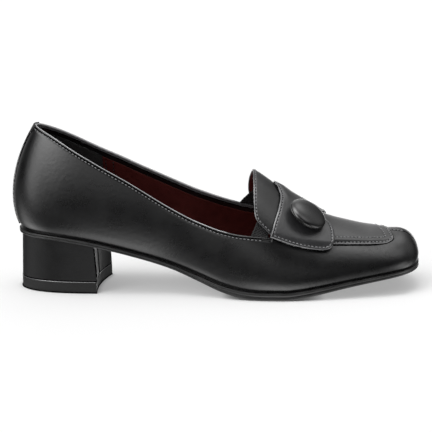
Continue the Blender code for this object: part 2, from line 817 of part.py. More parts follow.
def heel_foot(plan):
    """The plan at the foot of the heel: narrower, and a little longer at both ends."""
    back, front = plan[:, 0].min(), plan[:, 0].max()
    share = (2.0 * plan[:, 0] - back - front) / (front - back)
    return np.column_stack((plan[:, 0] + HEEL_FLARE * share, plan[:, 1] * HEEL_FOOT_WIDTH))


def heel_body(name, levels, sides, material, collection):
    """Closed loft through rings of the heel's plan, top to bottom, with laddered caps."""
    count = len(levels[0])
    last_rung = sides - 3
    faces = loft_faces(len(levels), count)
    for base in (0, (len(levels) - 1) * count):
        faces.append((base, base + 1, base + count - 1))
        faces += [(base + i, base + i + 1, base + count - i - 1, base + count - i)
                  for i in range(1, last_rung)]
        faces.append(tuple(range(base + last_rung, base + count - last_rung + 1)))
    obj = add_object(name, np.concatenate(levels), faces, material, collection)
    return turn_faces(obj, enclosed)


def build_heel(collection):
    """Block heel under the seat, tapering a little to its top piece."""
    top, sides = heel_plan(HEEL_INSET)
    bottom = heel_foot(top)
    s = station_of(top[:, 0])
    high = sole_height(s, side_of(top[:, 1])) - CLEARANCE
    low = HEEL_TIP_THICKNESS + CLEARANCE
    levels = [np.column_stack((top + (bottom - top) * t, high + (low - high) * t))
              for t in np.linspace(0.0, 1.0, HEEL_ROWS)]
    return heel_body("heel", levels, sides, "heel", collection)


def build_heel_tip(collection):
    """Top piece on which the heel stands."""
    levels = []
    for inset, height in ((0.0, HEEL_TIP_THICKNESS), (0.0, HEEL_TIP_BEVEL), (HEEL_TIP_BEVEL, 0.0)):
        plan, sides = heel_plan(HEEL_INSET - HEEL_TIP_LIP + inset)
        levels.append(np.column_stack((heel_foot(plan), np.full(len(plan), height))))
    return heel_body("heel_tip", levels, sides, "rubber", collection)


def build_button(collection):
    """Covered button: a dome over a rim, on a short shank that stands on the strap."""
    rim_top = BUTTON_SHANK_HEIGHT + BUTTON_RIM
    slope = BUTTON_RIM_SLOPE * BUTTON_RIM
    profile = [(BUTTON_RADIUS * math.cos(angle), rim_top + BUTTON_DOME * math.sin(angle))
               for angle in np.linspace(math.pi / 2.0, 0.0, BUTTON_ARC + 1)]
    profile[0] = (0.0, rim_top + BUTTON_DOME)
    profile += [(BUTTON_RADIUS, BUTTON_SHANK_HEIGHT + slope), (BUTTON_RADIUS - slope, BUTTON_SHANK_HEIGHT),
                (BUTTON_SHANK_RADIUS, BUTTON_SHANK_HEIGHT), (BUTTON_SHANK_RADIUS, 0.0), (0.0, 0.0)]
    mesh = bpy.data.meshes.new("button")
    mesh.from_pydata([(r, 0.0, z) for r, z in profile], [(i, i + 1) for i in range(len(profile) - 1)], [])
    mesh.materials.append(new_material("leather"))
    obj = bpy.data.objects.new("button", mesh)
    collection.objects.link(obj)
    screw = obj.modifiers.new("Turn", "SCREW")
    screw.steps = BUTTON_STEPS
    screw.render_steps = BUTTON_STEPS
    screw.use_merge_vertices = True
    screw.merge_threshold = WELD_DISTANCE
    screw.use_smooth_shade = True
    s, w = np.array([BUTTON_STATION]), np.array([BUTTON_RIB_SHARE])
    u = ring_at(s, w, "lateral")
    clear = CLEARANCE + BUTTON_SHANK_RADIUS * math.sin(math.hypot(BUTTON_TILT, BUTTON_LEAN))
    seat = last_points(u, w, strap_lift(s, w) + clear)[0]
    normal = Matrix.Rotation(BUTTON_TILT, 3, "Y") @ Vector(last_normals(u, w)[0])
    normal = Matrix.Rotation(-BUTTON_LEAN, 3, "X") @ normal
    turn = normal.to_track_quat("Z", "Y").to_matrix().to_4x4()
    obj.matrix_world = Matrix.Translation(Vector(seat)) @ turn
    return obj


def build_shoe():
    """All sub-parts of the shoe, each its own object."""
    for obj in list(bpy.data.objects):
        bpy.data.objects.remove(obj, do_unlink=True)
    collection = new_collection("loafer_pump")
    build_upper(collection)
    build_outsole(collection)
    build_insole(collection)
    build_heel(collection)
    build_heel_tip(collection)
    build_apron(collection)
    build_strap(collection)
    build_button(collection)
    build_gore("lateral", GORE_LATERAL, collection)
    build_gore("medial", GORE_MEDIAL, collection)
    build_back_strip(collection)


build_shoe()
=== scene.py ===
"""Loafer pump, dressed: leather, lining, stitching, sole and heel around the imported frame.

Frame: metres, +X to the toe, +Z up, -Y the outer side of this right shoe. The origin is on the
floor under the heel. All soft pieces lie on one form, the last: a closed ring of curved ribs that
rise from the feather line, where upper and sole meet, to the ridge over the instep. Ring position
u runs from the back centre (0) along the outer side to the toe (0.5) and back along the inner side
(1). Rib share w runs from the feather line (0) to the ridge (1). Station s is the share of the
last's length, from the back (0) to the toe (1).
"""
from __future__ import annotations

import logging
import math
from dataclasses import dataclass, field
from enum import Enum
from typing import Callable, Sequence

import bmesh
import bpy
import numpy as np
from mathutils import Matrix, Vector

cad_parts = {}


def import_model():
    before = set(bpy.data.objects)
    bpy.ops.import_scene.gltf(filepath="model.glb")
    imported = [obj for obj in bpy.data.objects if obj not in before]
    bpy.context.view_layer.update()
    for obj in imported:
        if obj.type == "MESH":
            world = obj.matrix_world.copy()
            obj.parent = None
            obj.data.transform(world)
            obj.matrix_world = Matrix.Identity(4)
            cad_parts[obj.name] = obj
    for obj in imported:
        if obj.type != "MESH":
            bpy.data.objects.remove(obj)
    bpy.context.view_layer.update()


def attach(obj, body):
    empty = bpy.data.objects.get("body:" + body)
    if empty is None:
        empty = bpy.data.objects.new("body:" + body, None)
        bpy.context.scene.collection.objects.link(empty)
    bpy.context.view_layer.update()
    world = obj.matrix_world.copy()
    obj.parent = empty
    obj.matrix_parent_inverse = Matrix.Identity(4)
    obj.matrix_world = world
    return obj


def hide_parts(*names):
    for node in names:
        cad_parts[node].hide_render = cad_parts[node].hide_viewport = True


LOG = logging.getLogger("loafer_pump")
MM = 0.001
POINTS_AT_ONCE = 4000
JOIN_WITHIN = 2e-6
SHORTEST_EDGE = 1e-7
BORDER_STEP = 0.0003

Array = np.ndarray
Table = dict[str, Array]


def table(names: str, *rows: Sequence[float]) -> Table:
    """Rows of numbers as a dictionary of columns.

    Args:
        names: the columns' names, with spaces between them.
        rows: the rows, from the back of the shoe to its toe or from an edge inwards.

    Returns:
        One array for each name.
    """
    return {name: np.array([row[i] for row in rows]) for i, name in enumerate(names.split())}


OUTLINE = table(
    "s lateral medial",
    (0.010, 0.000, 0.000),
    (0.018, 0.240, 0.250),
    (0.045, 0.450, 0.460),
    (0.083, 0.580, 0.575),
    (0.140, 0.660, 0.630),
    (0.210, 0.685, 0.615),
    (0.300, 0.665, 0.540),
    (0.380, 0.660, 0.490),
    (0.450, 0.735, 0.505),
    (0.520, 0.875, 0.615),
    (0.590, 0.980, 0.775),
    (0.660, 1.010, 0.905),
    (0.730, 0.980, 0.970),
    (0.800, 0.905, 0.955),
    (0.870, 0.805, 0.875),
    (0.930, 0.700, 0.780),
    (0.965, 0.580, 0.670),
    (0.987, 0.400, 0.500),
    (0.997, 0.190, 0.290),
    (1.000, -0.050, 0.050),
)
BOTTOM = table(
    "s rise_lateral rise_medial spring sole",
    (0.00, 1.065, 1.065, 0.00, 0.53),
    (0.10, 1.016, 1.021, 0.00, 0.53),
    (0.18, 0.930, 0.950, 0.00, 0.53),
    (0.25, 0.800, 0.850, 0.00, 0.53),
    (0.32, 0.640, 0.720, 0.00, 0.53),
    (0.39, 0.460, 0.570, 0.00, 0.55),
    (0.46, 0.255, 0.380, 0.00, 0.70),
    (0.52, 0.095, 0.190, 0.00, 0.86),
    (0.57, 0.020, 0.055, 0.00, 0.97),
    (0.61, 0.000, 0.000, 0.00, 1.00),
    (0.67, 0.000, 0.000, 0.00, 1.00),
    (0.70, 0.000, 0.000, 0.06, 0.95),
    (0.74, 0.000, 0.000, 0.19, 0.86),
    (0.82, 0.000, 0.000, 0.48, 0.71),
    (0.90, 0.000, 0.000, 0.72, 0.61),
    (1.00, 0.000, 0.000, 1.00, 0.53),
)
RIDGE = table(
    "s height",
    (0.08, 1.200),
    (0.20, 1.290),
    (0.30, 1.250),
    (0.40, 1.170),
    (0.50, 1.130),
    (0.60, 0.993),
    (0.66, 0.817),
    (0.72, 0.645),
    (0.77, 0.514),
    (0.82, 0.423),
    (0.87, 0.353),
    (0.93, 0.334),
)
RIBS = table(
    "ridge lean_lateral lean_medial push pull fan",
    (0.109, 67, 67, 0.46, 0.31, 90),
    (0.111, 69, 69, 0.46, 0.31, 72),
    (0.117, 74, 74, 0.44, 0.31, 55),
    (0.132, 78, 76, 0.41, 0.32, 36),
    (0.162, 78, 75, 0.38, 0.36, 20),
    (0.215, 76, 72, 0.36, 0.40, 8),
    (0.300, 73, 68, 0.36, 0.48, 0),
    (0.380, 70, 62, 0.36, 0.56, 0),
    (0.450, 70, 60, 0.36, 0.60, 0),
    (0.512, 74, 64, 0.36, 0.60, 0),
    (0.578, 78, 72, 0.36, 0.56, 0),
    (0.642, 80, 78, 0.36, 0.52, 0),
    (0.708, 82, 82, 0.38, 0.52, 0),
    (0.768, 84, 84, 0.42, 0.54, 2),
    (0.825, 86, 86, 0.48, 0.60, 8),
    (0.868, 86, 86, 0.52, 0.62, 20),
    (0.895, 86, 86, 0.54, 0.63, 38),
    (0.915, 85, 85, 0.54, 0.62, 58),
    (0.926, 85, 85, 0.54, 0.62, 76),
    (0.930, 85, 85, 0.54, 0.62, 90),
)
TOPLINE = table(
    "s lateral medial",
    (0.05, 1.000, 1.000),
    (0.10, 0.920, 0.928),
    (0.15, 0.830, 0.850),
    (0.20, 0.755, 0.778),
    (0.25, 0.695, 0.729),
    (0.30, 0.640, 0.684),
    (0.35, 0.580, 0.648),
    (0.40, 0.533, 0.617),
    (0.45, 0.513, 0.599),
    (0.50, 0.515, 0.601),
    (0.55, 0.517, 0.609),
    (0.60, 0.514, 0.607),
    (0.66, 0.484, 0.574),
)


def spline(knots: Array, values: Array, at: Array) -> Array:
    """Natural cubic spline through rows of values.

    Args:
        knots: rising places of the rows.
        values: one row, or one number, for each knot.
        at: places at which the curve is read.

    Returns:
        The curve's values, with the shape of at and then of a row.
    """
    at = np.asarray(at, float)
    gaps = np.diff(knots)
    tail = (1,) * (values.ndim - 1)
    slopes = np.diff(values, axis=0) / gaps.reshape((-1,) + tail)
    inner = np.arange(1, len(knots) - 1)
    matrix = np.eye(len(knots))
    matrix[inner, inner - 1] = gaps[:-1]
    matrix[inner, inner] = 2.0 * (gaps[:-1] + gaps[1:])
    matrix[inner, inner + 1] = gaps[1:]
    right = np.zeros_like(values)
    right[1:-1] = 6.0 * np.diff(slopes, axis=0)
    bend = np.linalg.solve(matrix, right)
    cell = np.clip(np.searchsorted(knots, at) - 1, 0, len(knots) - 2)
    gap = gaps[cell].reshape(at.shape + tail)
    a = (knots[cell + 1] - at).reshape(at.shape + tail) / gap
    b = 1.0 - a
    curve = (a ** 3 - a) * bend[cell] + (b ** 3 - b) * bend[cell + 1]
    return a * values[cell] + b * values[cell + 1] + curve * gap ** 2 / 6.0


def steady(rows: Table, name: str, at: Array, level_end: bool = False) -> Array:
    """A table's column as a piecewise cubic that never overshoots its values.

    Args:
        rows: the table, whose first column holds the rising places of the values.
        name: the column that is read.
        at: places at which the curve is read, held inside the table.
        level_end: whether the curve ends flat.

    Returns:
        The curve's values.
    """
    knots, values = next(iter(rows.values())), rows[name]
    at = np.clip(at, knots[0], knots[-1])
    gaps = np.diff(knots)
    slopes = np.diff(values) / gaps
    tangents = np.concatenate((slopes[:1], np.zeros(len(knots) - 2), slopes[-1:]))
    same = slopes[:-1] * slopes[1:] > 0
    tangents[1:-1][same] = 2.0 * slopes[:-1][same] * slopes[1:][same] / (slopes[:-1] + slopes[1:])[same]
    if level_end:
        tangents[-1] = 0.0
    cell = np.clip(np.searchsorted(knots, at) - 1, 0, len(knots) - 2)
    t = (at - knots[cell]) / gaps[cell]
    start = (1 + 2 * t) * (1 - t) ** 2 * values[cell] + t * (1 - t) ** 2 * gaps[cell] * tangents[cell]
    end = t ** 2 * (3 - 2 * t) * values[cell + 1] + t ** 2 * (t - 1) * gaps[cell] * tangents[cell + 1]
    return start + end


def smooth(t: Array) -> Array:
    """Smooth step from 0 to 1: 3 t squared less 2 t cubed."""
    t = np.clip(t, 0.0, 1.0)
    return t * t * (3.0 - 2.0 * t)


def ramp(value: Array, start: float, reach: float) -> Array:
    """Smooth step from 0 at a start to 1 after a reach."""
    return smooth((value - start) / reach)


def unit(vectors: Array) -> Array:
    """The vectors, each divided by its length."""
    return vectors / np.linalg.norm(vectors, axis=-1, keepdims=True)


def bell(distance: Array, width: float) -> Array:
    """Bell curve of a distance: 1 on the line, about a third one width away."""
    return np.exp(-(distance / width) ** 2)


def turns(count: int) -> Array:
    """Angles of a full turn in even steps, without the last."""
    return np.linspace(0.0, 2.0 * math.pi, count, endpoint=False)


def steps_to_end(count: int) -> Array:
    """For each place of a row, how many steps it is from the nearer end."""
    return np.minimum(np.arange(count), np.arange(count)[::-1])


def both_sides(half: Array) -> Array:
    """Ring positions all the way round, from those of the outer half."""
    return np.concatenate((half, 1.0 - half[-2:0:-1]))


def spaced(places: Sequence[float], counts: Sequence[int]) -> Array:
    """Positions with even steps between given places.

    Args:
        places: rising places.
        counts: the number of steps from each place to the next.

    Returns:
        The positions, both ends included.
    """
    parts = [np.linspace(start, end, count, endpoint=False)
             for start, end, count in zip(places, places[1:], counts)]
    return np.concatenate(parts + [np.array([places[-1]])])


def nearest(points: Array, path: Array) -> Array:
    """Distance from each point to the nearest point of a path.

    Args:
        points: array (..., 3).
        path: array (m, 3), closely spaced.

    Returns:
        Distances, in metres, with the shape of points less its last axis.
    """
    flat = points.reshape(-1, 3)
    square = np.sum(path ** 2, axis=1)
    parts = []
    for block in np.array_split(flat, max(1, len(flat) // POINTS_AT_ONCE)):
        gap = np.sum(block ** 2, axis=1)[:, None] + square[None, :] - 2.0 * block @ path.T
        parts.append(np.sqrt(np.maximum(gap.min(axis=1), 0.0)))
    return np.concatenate(parts).reshape(points.shape[:-1])


def resample(path: Array, step: float, *others: Array) -> tuple[Array, ...]:
    """A path, and rows that go with its points, at even spacing.

    Args:
        path: array (m, 3).
        step: the spacing wanted; the nearest that divides the length is taken.
        others: arrays (m, n) that are read at the same places.

    Returns:
        The new path and the new rows.
    """
    run = np.concatenate(([0.0], np.cumsum(np.linalg.norm(np.diff(path, axis=0), axis=1))))
    at = np.linspace(0.0, run[-1], max(2, int(round(run[-1] / step)) + 1))
    return tuple(np.stack([np.interp(at, run, rows[:, k]) for k in range(rows.shape[1])], 1)
                 for rows in (path,) + others)


def shown_run(path: Array, normal: Array, shown: Array) -> tuple[Array, Array]:
    """The one stretch of a closed path that shows, in running order.

    Args:
        path: points (m, 3).
        normal: their normals.
        shown: for each point, whether it belongs to the stretch.

    Returns:
        Points and normals of the stretch.
    """
    order = np.roll(np.arange(len(path)), -int(np.argmax(~shown)))
    order = order[shown[order]]
    return path[order], normal[order]


@dataclass
class Last:
    """The form that the shoe is made on.

    Each rib is a cubic Bezier curve from a point of the feather line to a point of the ridge. The
    sizes are those of the solids.
    """

    length: float = 0.2515
    heel_back: float = -0.0321
    ball_half_width: float = 0.0395
    heel_rise: float = 0.0315
    toe_spring: float = 0.0115
    instep_height: float = 0.065
    quarter_height: float = 0.0655
    clearance: float = 0.0003
    sole_thickness: float = 0.0047
    quarter_end: float = 0.40
    instep_start: float = 0.55
    throat: tuple[float, float] = (0.641, 0.675)
    side_fade: float = 0.35
    wrap: int = 5
    halvings: int = 20
    shares_tried: int = 401
    half_knots: Array = field(init=False)
    knots: Array = field(init=False)
    rows: Array = field(init=False)

    def __post_init__(self) -> None:
        """Lay the rows of both sides round the ring, with a few repeated past its ends."""
        sides = []
        for sign, width, lean in ((-1.0, "lateral", "lean_lateral"), (1.0, "medial", "lean_medial")):
            sides.append(np.stack((OUTLINE["s"], sign * OUTLINE[width], RIBS["ridge"], RIBS[lean],
                                   RIBS["push"], RIBS["pull"], RIBS["fan"]), 1))
        scale = (self.length, self.ball_half_width)
        steps = sum(np.linalg.norm(np.diff(side[:, :2] * scale, axis=0), axis=1) for side in sides)
        total = np.concatenate(([0.0], np.cumsum(steps)))
        self.half_knots = 0.5 * total / total[-1]
        rows = np.concatenate((sides[0], sides[1][-2:0:-1]))
        knots = both_sides(self.half_knots)
        n = self.wrap
        self.knots = np.concatenate((knots[-n:] - 1.0, knots, knots[:n] + 1.0))
        self.rows = np.concatenate((rows[-n:], rows, rows[:n]))

    def x_at(self, s: Array) -> Array:
        """X of station s."""
        return self.heel_back + self.length * s

    def station_of(self, x: Array) -> Array:
        """Station of the place x."""
        return (x - self.heel_back) / self.length

    def side_of(self, y: Array) -> Array:
        """Side value, -1 lateral to 1 medial, that fades over the middle of the shoe."""
        return np.tanh(y / (self.side_fade * self.ball_half_width))

    def feather_height(self, s: Array, side: Array) -> Array:
        """Height of the last's bottom.

        Args:
            s: stations.
            side: side values, from -1 (lateral) to 1 (medial).

        Returns:
            Heights over the floor, in metres.
        """
        s = np.clip(s, 0.0, 1.0)
        lateral = steady(BOTTOM, "rise_lateral", s)
        medial = steady(BOTTOM, "rise_medial", s)
        spring = steady(BOTTOM, "spring", s)
        mix = (np.clip(side, -1.0, 1.0) + 1.0) / 2.0
        rise = lateral * (1.0 - mix) + medial * mix
        return self.sole_thickness + self.clearance + self.heel_rise * rise + self.toe_spring * spring

    def sole_depth(self, s: Array) -> Array:
        """Thickness of the outsole at station s."""
        return self.sole_thickness * steady(BOTTOM, "sole", np.clip(s, 0.0, 1.0))

    def sole_height(self, s: Array, side: Array) -> Array:
        """Height of the outsole's underside."""
        return self.feather_height(s, side) - self.clearance - self.sole_depth(s)

    def ring(self, u: Array) -> Array:
        """Interpolated columns of the ring at positions u."""
        return spline(self.knots, self.rows, np.mod(u, 1.0))

    def ring_of_station(self, s: Array) -> Array:
        """Lateral ring position of the feather point at station s; the medial one is 1 minus it."""
        return np.interp(s, OUTLINE["s"], self.half_knots)

    def ridge_points(self, s: Array) -> Array:
        """Points of the ridge.

        Args:
            s: stations.

        Returns:
            Array of their shape, and 3.
        """
        height = spline(RIDGE["s"], RIDGE["height"], s)
        top = self.feather_height(s, np.zeros_like(s)) + self.instep_height * height
        return np.stack((self.x_at(s), np.zeros_like(s), top), -1)

    def outward(self, u: Array) -> Array:
        """Plan directions that point out of the outline.

        Args:
            u: ring positions.

        Returns:
            Unit vectors (n, 2).
        """
        step = 1e-4
        run = (self.ring(u + step) - self.ring(u - step))[:, :2] * (self.length, self.ball_half_width)
        return unit(np.stack((run[:, 1], -run[:, 0]), 1))

    def outline(self, u: Array, grow: float | Array = 0.0) -> Array:
        """Points of the feather line.

        Args:
            u: ring positions.
            grow: how far the points are moved outward in plan, in metres.

        Returns:
            Array (n, 3).
        """
        columns = self.ring(u)
        y = self.ball_half_width * columns[:, 1]
        points = np.stack((self.x_at(columns[:, 0]), y,
                           self.feather_height(columns[:, 0], self.side_of(y))), 1)
        points[:, :2] += np.reshape(grow, (-1, 1)) * self.outward(u)
        return points

    def rib_controls(self, u: Array) -> Array:
        """The four Bezier points of each rib.

        The second point leaves the feather line outward and up at the rib's lean. The third leaves
        the ridge sideways, turned along the ridge by the rib's fan.

        Args:
            u: ring positions.

        Returns:
            Array (n, 4, 3).
        """
        u = np.mod(u, 1.0)
        columns = self.ring(u)
        foot = self.outline(u)
        out = self.outward(u)
        top = self.ridge_points(columns[:, 2])
        lean = np.radians(columns[:, 3])
        push = (columns[:, 4] * (top[:, 2] - foot[:, 2]))[:, None]
        start = foot + push * np.column_stack((np.cos(lean)[:, None] * out, np.sin(lean)))
        step = 1e-3
        along = unit(self.ridge_points(columns[:, 2] + step) - self.ridge_points(columns[:, 2] - step))
        fan = np.radians(columns[:, 6])
        heading = np.where(columns[:, 0] > 0.5, 1.0, -1.0)
        sideways = np.where(u < 0.5, -1.0, 1.0)
        across = np.stack((np.zeros_like(u), sideways, np.zeros_like(u)), 1)
        leave = (np.sin(fan) * heading)[:, None] * along + np.cos(fan)[:, None] * across
        reach = np.linalg.norm(foot[:, :2] - top[:, :2], axis=1)
        end = top + (columns[:, 5] * reach)[:, None] * leave
        return np.stack((foot, start, end, top), 1)

    def points(self, u: Array, w: Array, offset: float | Array = 0.0) -> Array:
        """Points of the last, lifted along its normals.

        Args:
            u: ring positions.
            w: rib shares, of a shape that goes with u.
            offset: the lift, in metres.

        Returns:
            Array of the common shape, and 3.
        """
        u, w = np.broadcast_arrays(np.asarray(u, float), np.asarray(w, float))
        controls = self.rib_controls(u.ravel())
        t = w.ravel()[:, None]
        b = [controls[:, i] for i in range(4)]
        early = (1 - t) ** 3 * b[0] + 3 * (1 - t) ** 2 * t * b[1]
        points = early + 3 * (1 - t) * t ** 2 * b[2] + t ** 3 * b[3]
        points = points.reshape(u.shape + (3,))
        if np.any(offset):
            points = points + np.broadcast_to(offset, u.shape)[..., None] * self.normals(u, w)
        return points

    def normals(self, u: Array, w: Array) -> Array:
        """Outward unit normals of the last: the cross product of its two directions.

        Args:
            u: ring positions.
            w: rib shares, of a shape that goes with u.

        Returns:
            Array of the common shape, and 3. On the ridge and the two middle ribs they have no y.
        """
        u, w = np.broadcast_arrays(np.asarray(u, float), np.asarray(w, float))
        step = 1e-4
        w = np.clip(w, 0.0, 1.0 - 2.0 * step)
        middle = np.isclose(u, 0.5, atol=step) | np.isclose(np.mod(u, 1.0), 0.0, atol=step)
        around = self.points(u + step, w) - self.points(u - step, w)
        up = self.points(u, w + step) - self.points(u, np.maximum(w - step, 0.0))
        normal = unit(np.cross(around, up))
        normal[(w > 1.0 - 3.0 * step) | middle, 1] = 0.0
        return unit(normal)

    def layer(self, u: Array, w: Array, offset: float) -> tuple[Array, Array]:
        """Points at one lift over the last, in metres, and the last's normals there."""
        normal = self.normals(u, w)
        return self.points(u, w) + offset * normal, normal

    def ring_at(self, s: Array, w: Array, medial: bool) -> Array:
        """Ring positions at which the last reaches station s at rib share w, on one side.

        Args:
            s: stations.
            w: rib shares.
            medial: whether the inner side is meant.

        Returns:
            Ring positions, found by halving an interval.
        """
        s, w = np.broadcast_arrays(np.asarray(s, float), np.asarray(w, float))
        low, high = np.zeros(s.shape), np.full(s.shape, 0.5)
        for _ in range(self.halvings):
            middle = (low + high) / 2.0
            u = 1.0 - middle if medial else middle
            short = self.station_of(self.points(u, w)[..., 0]) < s
            low, high = np.where(short, middle, low), np.where(short, high, middle)
        middle = (low + high) / 2.0
        return 1.0 - middle if medial else middle

    def topline_share(self, u: Array) -> Array:
        """Rib share at which each rib meets the topline.

        Args:
            u: ring positions.

        Returns:
            The first share at which the rib is higher than the topline's table says.
        """
        w = np.linspace(0.0, 1.0, self.shares_tried)
        points = self.points(u[:, None], w[None, :])
        s = self.station_of(points[..., 0])
        side = self.side_of(points[..., 1])
        mix = (side + 1.0) / 2.0
        held = np.clip(s, TOPLINE["s"][0], TOPLINE["s"][-1])
        lateral = spline(TOPLINE["s"], TOPLINE["lateral"], held)
        medial = spline(TOPLINE["s"], TOPLINE["medial"], held)
        front = ramp(held, self.quarter_end, self.instep_start - self.quarter_end)
        wall = self.quarter_height * (1.0 - front) + self.instep_height * front
        height = wall * (lateral * (1.0 - mix) + medial * mix) + self.feather_height(s, side)
        over = points[..., 2] - height
        first = np.maximum(np.argmax(over > 0.0, axis=1), 1)
        rows = np.arange(len(u))
        before, after = over[rows, first - 1], over[rows, first]
        return w[first - 1] + (w[1] - w[0]) * before / (before - after)

    def closing(self, u: Array) -> Array:
        """How far the upper has closed over the instep.

        Args:
            u: ring positions.

        Returns:
            0 or less along the collar, 1 or more past the throat.
        """
        side_u = np.minimum(np.mod(u, 1.0), 1.0 - np.mod(u, 1.0))
        start, end = self.ring_of_station(np.array(self.throat))
        return (side_u - start) / (end - start)

    def upper_edge(self, u: Array) -> Array:
        """Rib share of the upper's top edge: the topline, then the throat over the ridge.

        Args:
            u: ring positions.

        Returns:
            Rib shares, 1 where the upper is closed over the instep.
        """
        u = np.mod(u, 1.0)
        start = self.ring_of_station(self.throat[0])
        level = self.topline_share(np.where(u <= 0.5, np.minimum(u, start), np.maximum(u, 1.0 - start)))
        return level + (1.0 - level) * smooth(self.closing(u))

    def rib_speed(self, u: Array, w: Array) -> Array:
        """Length of rib for each unit of rib share.

        Args:
            u: ring positions.
            w: rib shares at which it is measured.

        Returns:
            Lengths, in metres.
        """
        step = 0.004
        end = np.minimum(w + step, 1.0)
        return np.linalg.norm(self.points(u, end) - self.points(u, end - 2 * step), axis=-1) / (2.0 * step)

    def below_edge(self, u: Array, drop: float) -> Array:
        """Rib share at a drop below the upper's top edge, in metres."""
        edge = self.upper_edge(u)
        return edge - drop / self.rib_speed(u, edge)


LAST = Last()


class Side(Enum):
    """The two sides of the shoe."""

    LATERAL = "lateral"
    MEDIAL = "medial"


# Mesh helpers


def quads(rows: int, columns: int, closed: bool = False) -> Array:
    """Faces of a grid of points that is stored row by row.

    Args:
        rows: its rows.
        columns: the points in each row.
        closed: whether its last row is joined to the first.

    Returns:
        Array (n, 4) of point numbers.
    """
    row = np.arange(rows if closed else rows - 1)[:, None]
    column = np.arange(columns - 1)[None, :]
    ahead = (row + 1) % rows
    return np.stack(np.broadcast_arrays(row * columns + column, ahead * columns + column,
                                        ahead * columns + column + 1, row * columns + column + 1),
                    -1).reshape(-1, 4)


def turn_outward(mesh: bpy.types.Mesh, join: bool) -> None:
    """Turn the faces outward.

    Args:
        mesh: a mesh of closed shells.
        join: whether points that coincide are joined first.
    """
    work = bmesh.new()
    work.from_mesh(mesh)
    if join:
        bmesh.ops.remove_doubles(work, verts=work.verts, dist=JOIN_WITHIN)
        bmesh.ops.dissolve_degenerate(work, edges=work.edges, dist=SHORTEST_EDGE)
    bmesh.ops.recalc_face_normals(work, faces=work.faces)
    work.to_mesh(mesh)
    work.free()


def make_piece(name: str, points: Array, faces: Array, uv: Array | None = None,
               closed: bool = True, smooth_angle: float = 50.0) -> bpy.types.Object:
    """Object of points and four-sided faces, shaded smooth.

    Args:
        name: the piece's name.
        points: array (n, 3).
        faces: array (m, 4).
        uv: array (n, 2) of places on the piece, in metres.
        closed: whether the points that coincide are joined and the faces turned outward.
        smooth_angle: edges sharper than this, in degrees, stay sharp.

    Returns:
        The object, in the scene's collection.
    """
    mesh = bpy.data.meshes.new(name)
    mesh.from_pydata(points.reshape(-1, 3).tolist(), [], faces.tolist())
    if uv is not None:
        layer = mesh.uv_layers.new(name="Place")
        layer.data.foreach_set("uv", uv.reshape(-1, 2)[faces.ravel()].astype(np.float32).ravel())
    if closed:
        turn_outward(mesh, join=True)
    mesh.update()
    mesh.shade_smooth()
    mesh.set_sharp_from_angle(angle=math.radians(smooth_angle))
    piece = bpy.data.objects.new(name, mesh)
    bpy.context.scene.collection.objects.link(piece)
    LOG.info("%s: %d faces", name, len(mesh.polygons))
    return piece


def rounded(distance: Array, half: float) -> Array:
    """Half thickness of a sheet with a round edge: a quarter circle of that radius, then level."""
    t = 1.0 - np.clip(distance / half, 0.0, 1.0)
    return half * np.sqrt(np.maximum(1.0 - t * t, 0.0))


def two_skins(name: str, middle: Array, normal: Array, half: Array, relief: Array,
              uv: Array | None = None, closed_ring: bool = False) -> bpy.types.Object:
    """Leather or cloth of real thickness: a skin on each side of a middle surface.

    Args:
        name: the piece's name.
        middle: grid (rows, columns, 3) of the middle surface.
        normal: its unit normals.
        half: half the thickness at each point, 0 along the borders.
        relief: what the outer skin rises or sinks, 0 along the borders.
        uv: grid (rows, columns, 2) of places.
        closed_ring: whether the last row meets the first.

    Returns:
        One closed object.
    """
    outer = middle + normal * (half + relief)[..., None]
    inner = middle - normal * half[..., None]
    faces = quads(middle.shape[0], middle.shape[1], closed_ring)
    count = middle.shape[0] * middle.shape[1]
    both = np.concatenate((faces, faces[:, ::-1] + count))
    places = None if uv is None else np.concatenate((uv.reshape(-1, 2), uv.reshape(-1, 2)))
    points = np.concatenate((outer.reshape(-1, 3), inner.reshape(-1, 3)))
    return make_piece(name, points, both, places)


def border_of(grid: Array) -> Array:
    """The border of a grid (rows, columns, 3) as one closed path."""
    return np.concatenate((grid[:-1, 0], grid[-1, :-1], grid[:0:-1, -1], grid[0, :0:-1], grid[:1, 0]))


def border_distance(grid: Array, step: float) -> Array:
    """Distance of each point of a grid from its border, read at a step, both in metres."""
    return nearest(grid, resample(border_of(grid), step)[0])


def crowded(count: int, edge: Sequence[float], length: float) -> Array:
    """Shares from 0 to 1 with the given distances from both ends, and even steps between.

    Args:
        count: the number of even steps.
        edge: distances from an end, in metres, from 0 upwards.
        length: the length that shares are taken of, in metres.

    Returns:
        Rising shares.
    """
    start = np.array(edge) / length
    middle = np.linspace(start[-1], 1.0 - start[-1], count + 1)[1:-1]
    return np.concatenate((start, middle, 1.0 - start[::-1]))


def sheet_shares(steps: Sequence[int], lengths: Sequence[float], rows: int) -> list[Array]:
    """Shares along and across a sheet, crowded at its borders.

    Args:
        steps: the even steps each way.
        lengths: the sheet's length each way, in metres.
        rows: how many of the close border rows it has.

    Returns:
        Rising shares for each way.
    """
    return [crowded(count, EDGE_ROWS[:rows], length) for count, length in zip(steps, lengths)]


EDGE_ROWS = np.array((0.0, 0.06, 0.2, 0.4, 0.65, 0.95, 1.2, 1.4, 1.6, 1.8, 2.0, 2.3, 2.8, 3.6)) * MM
FOOT_ROWS = np.array((0.0, 0.1, 0.3, 0.6, 1.0, 1.6, 2.4)) * MM


# Thread


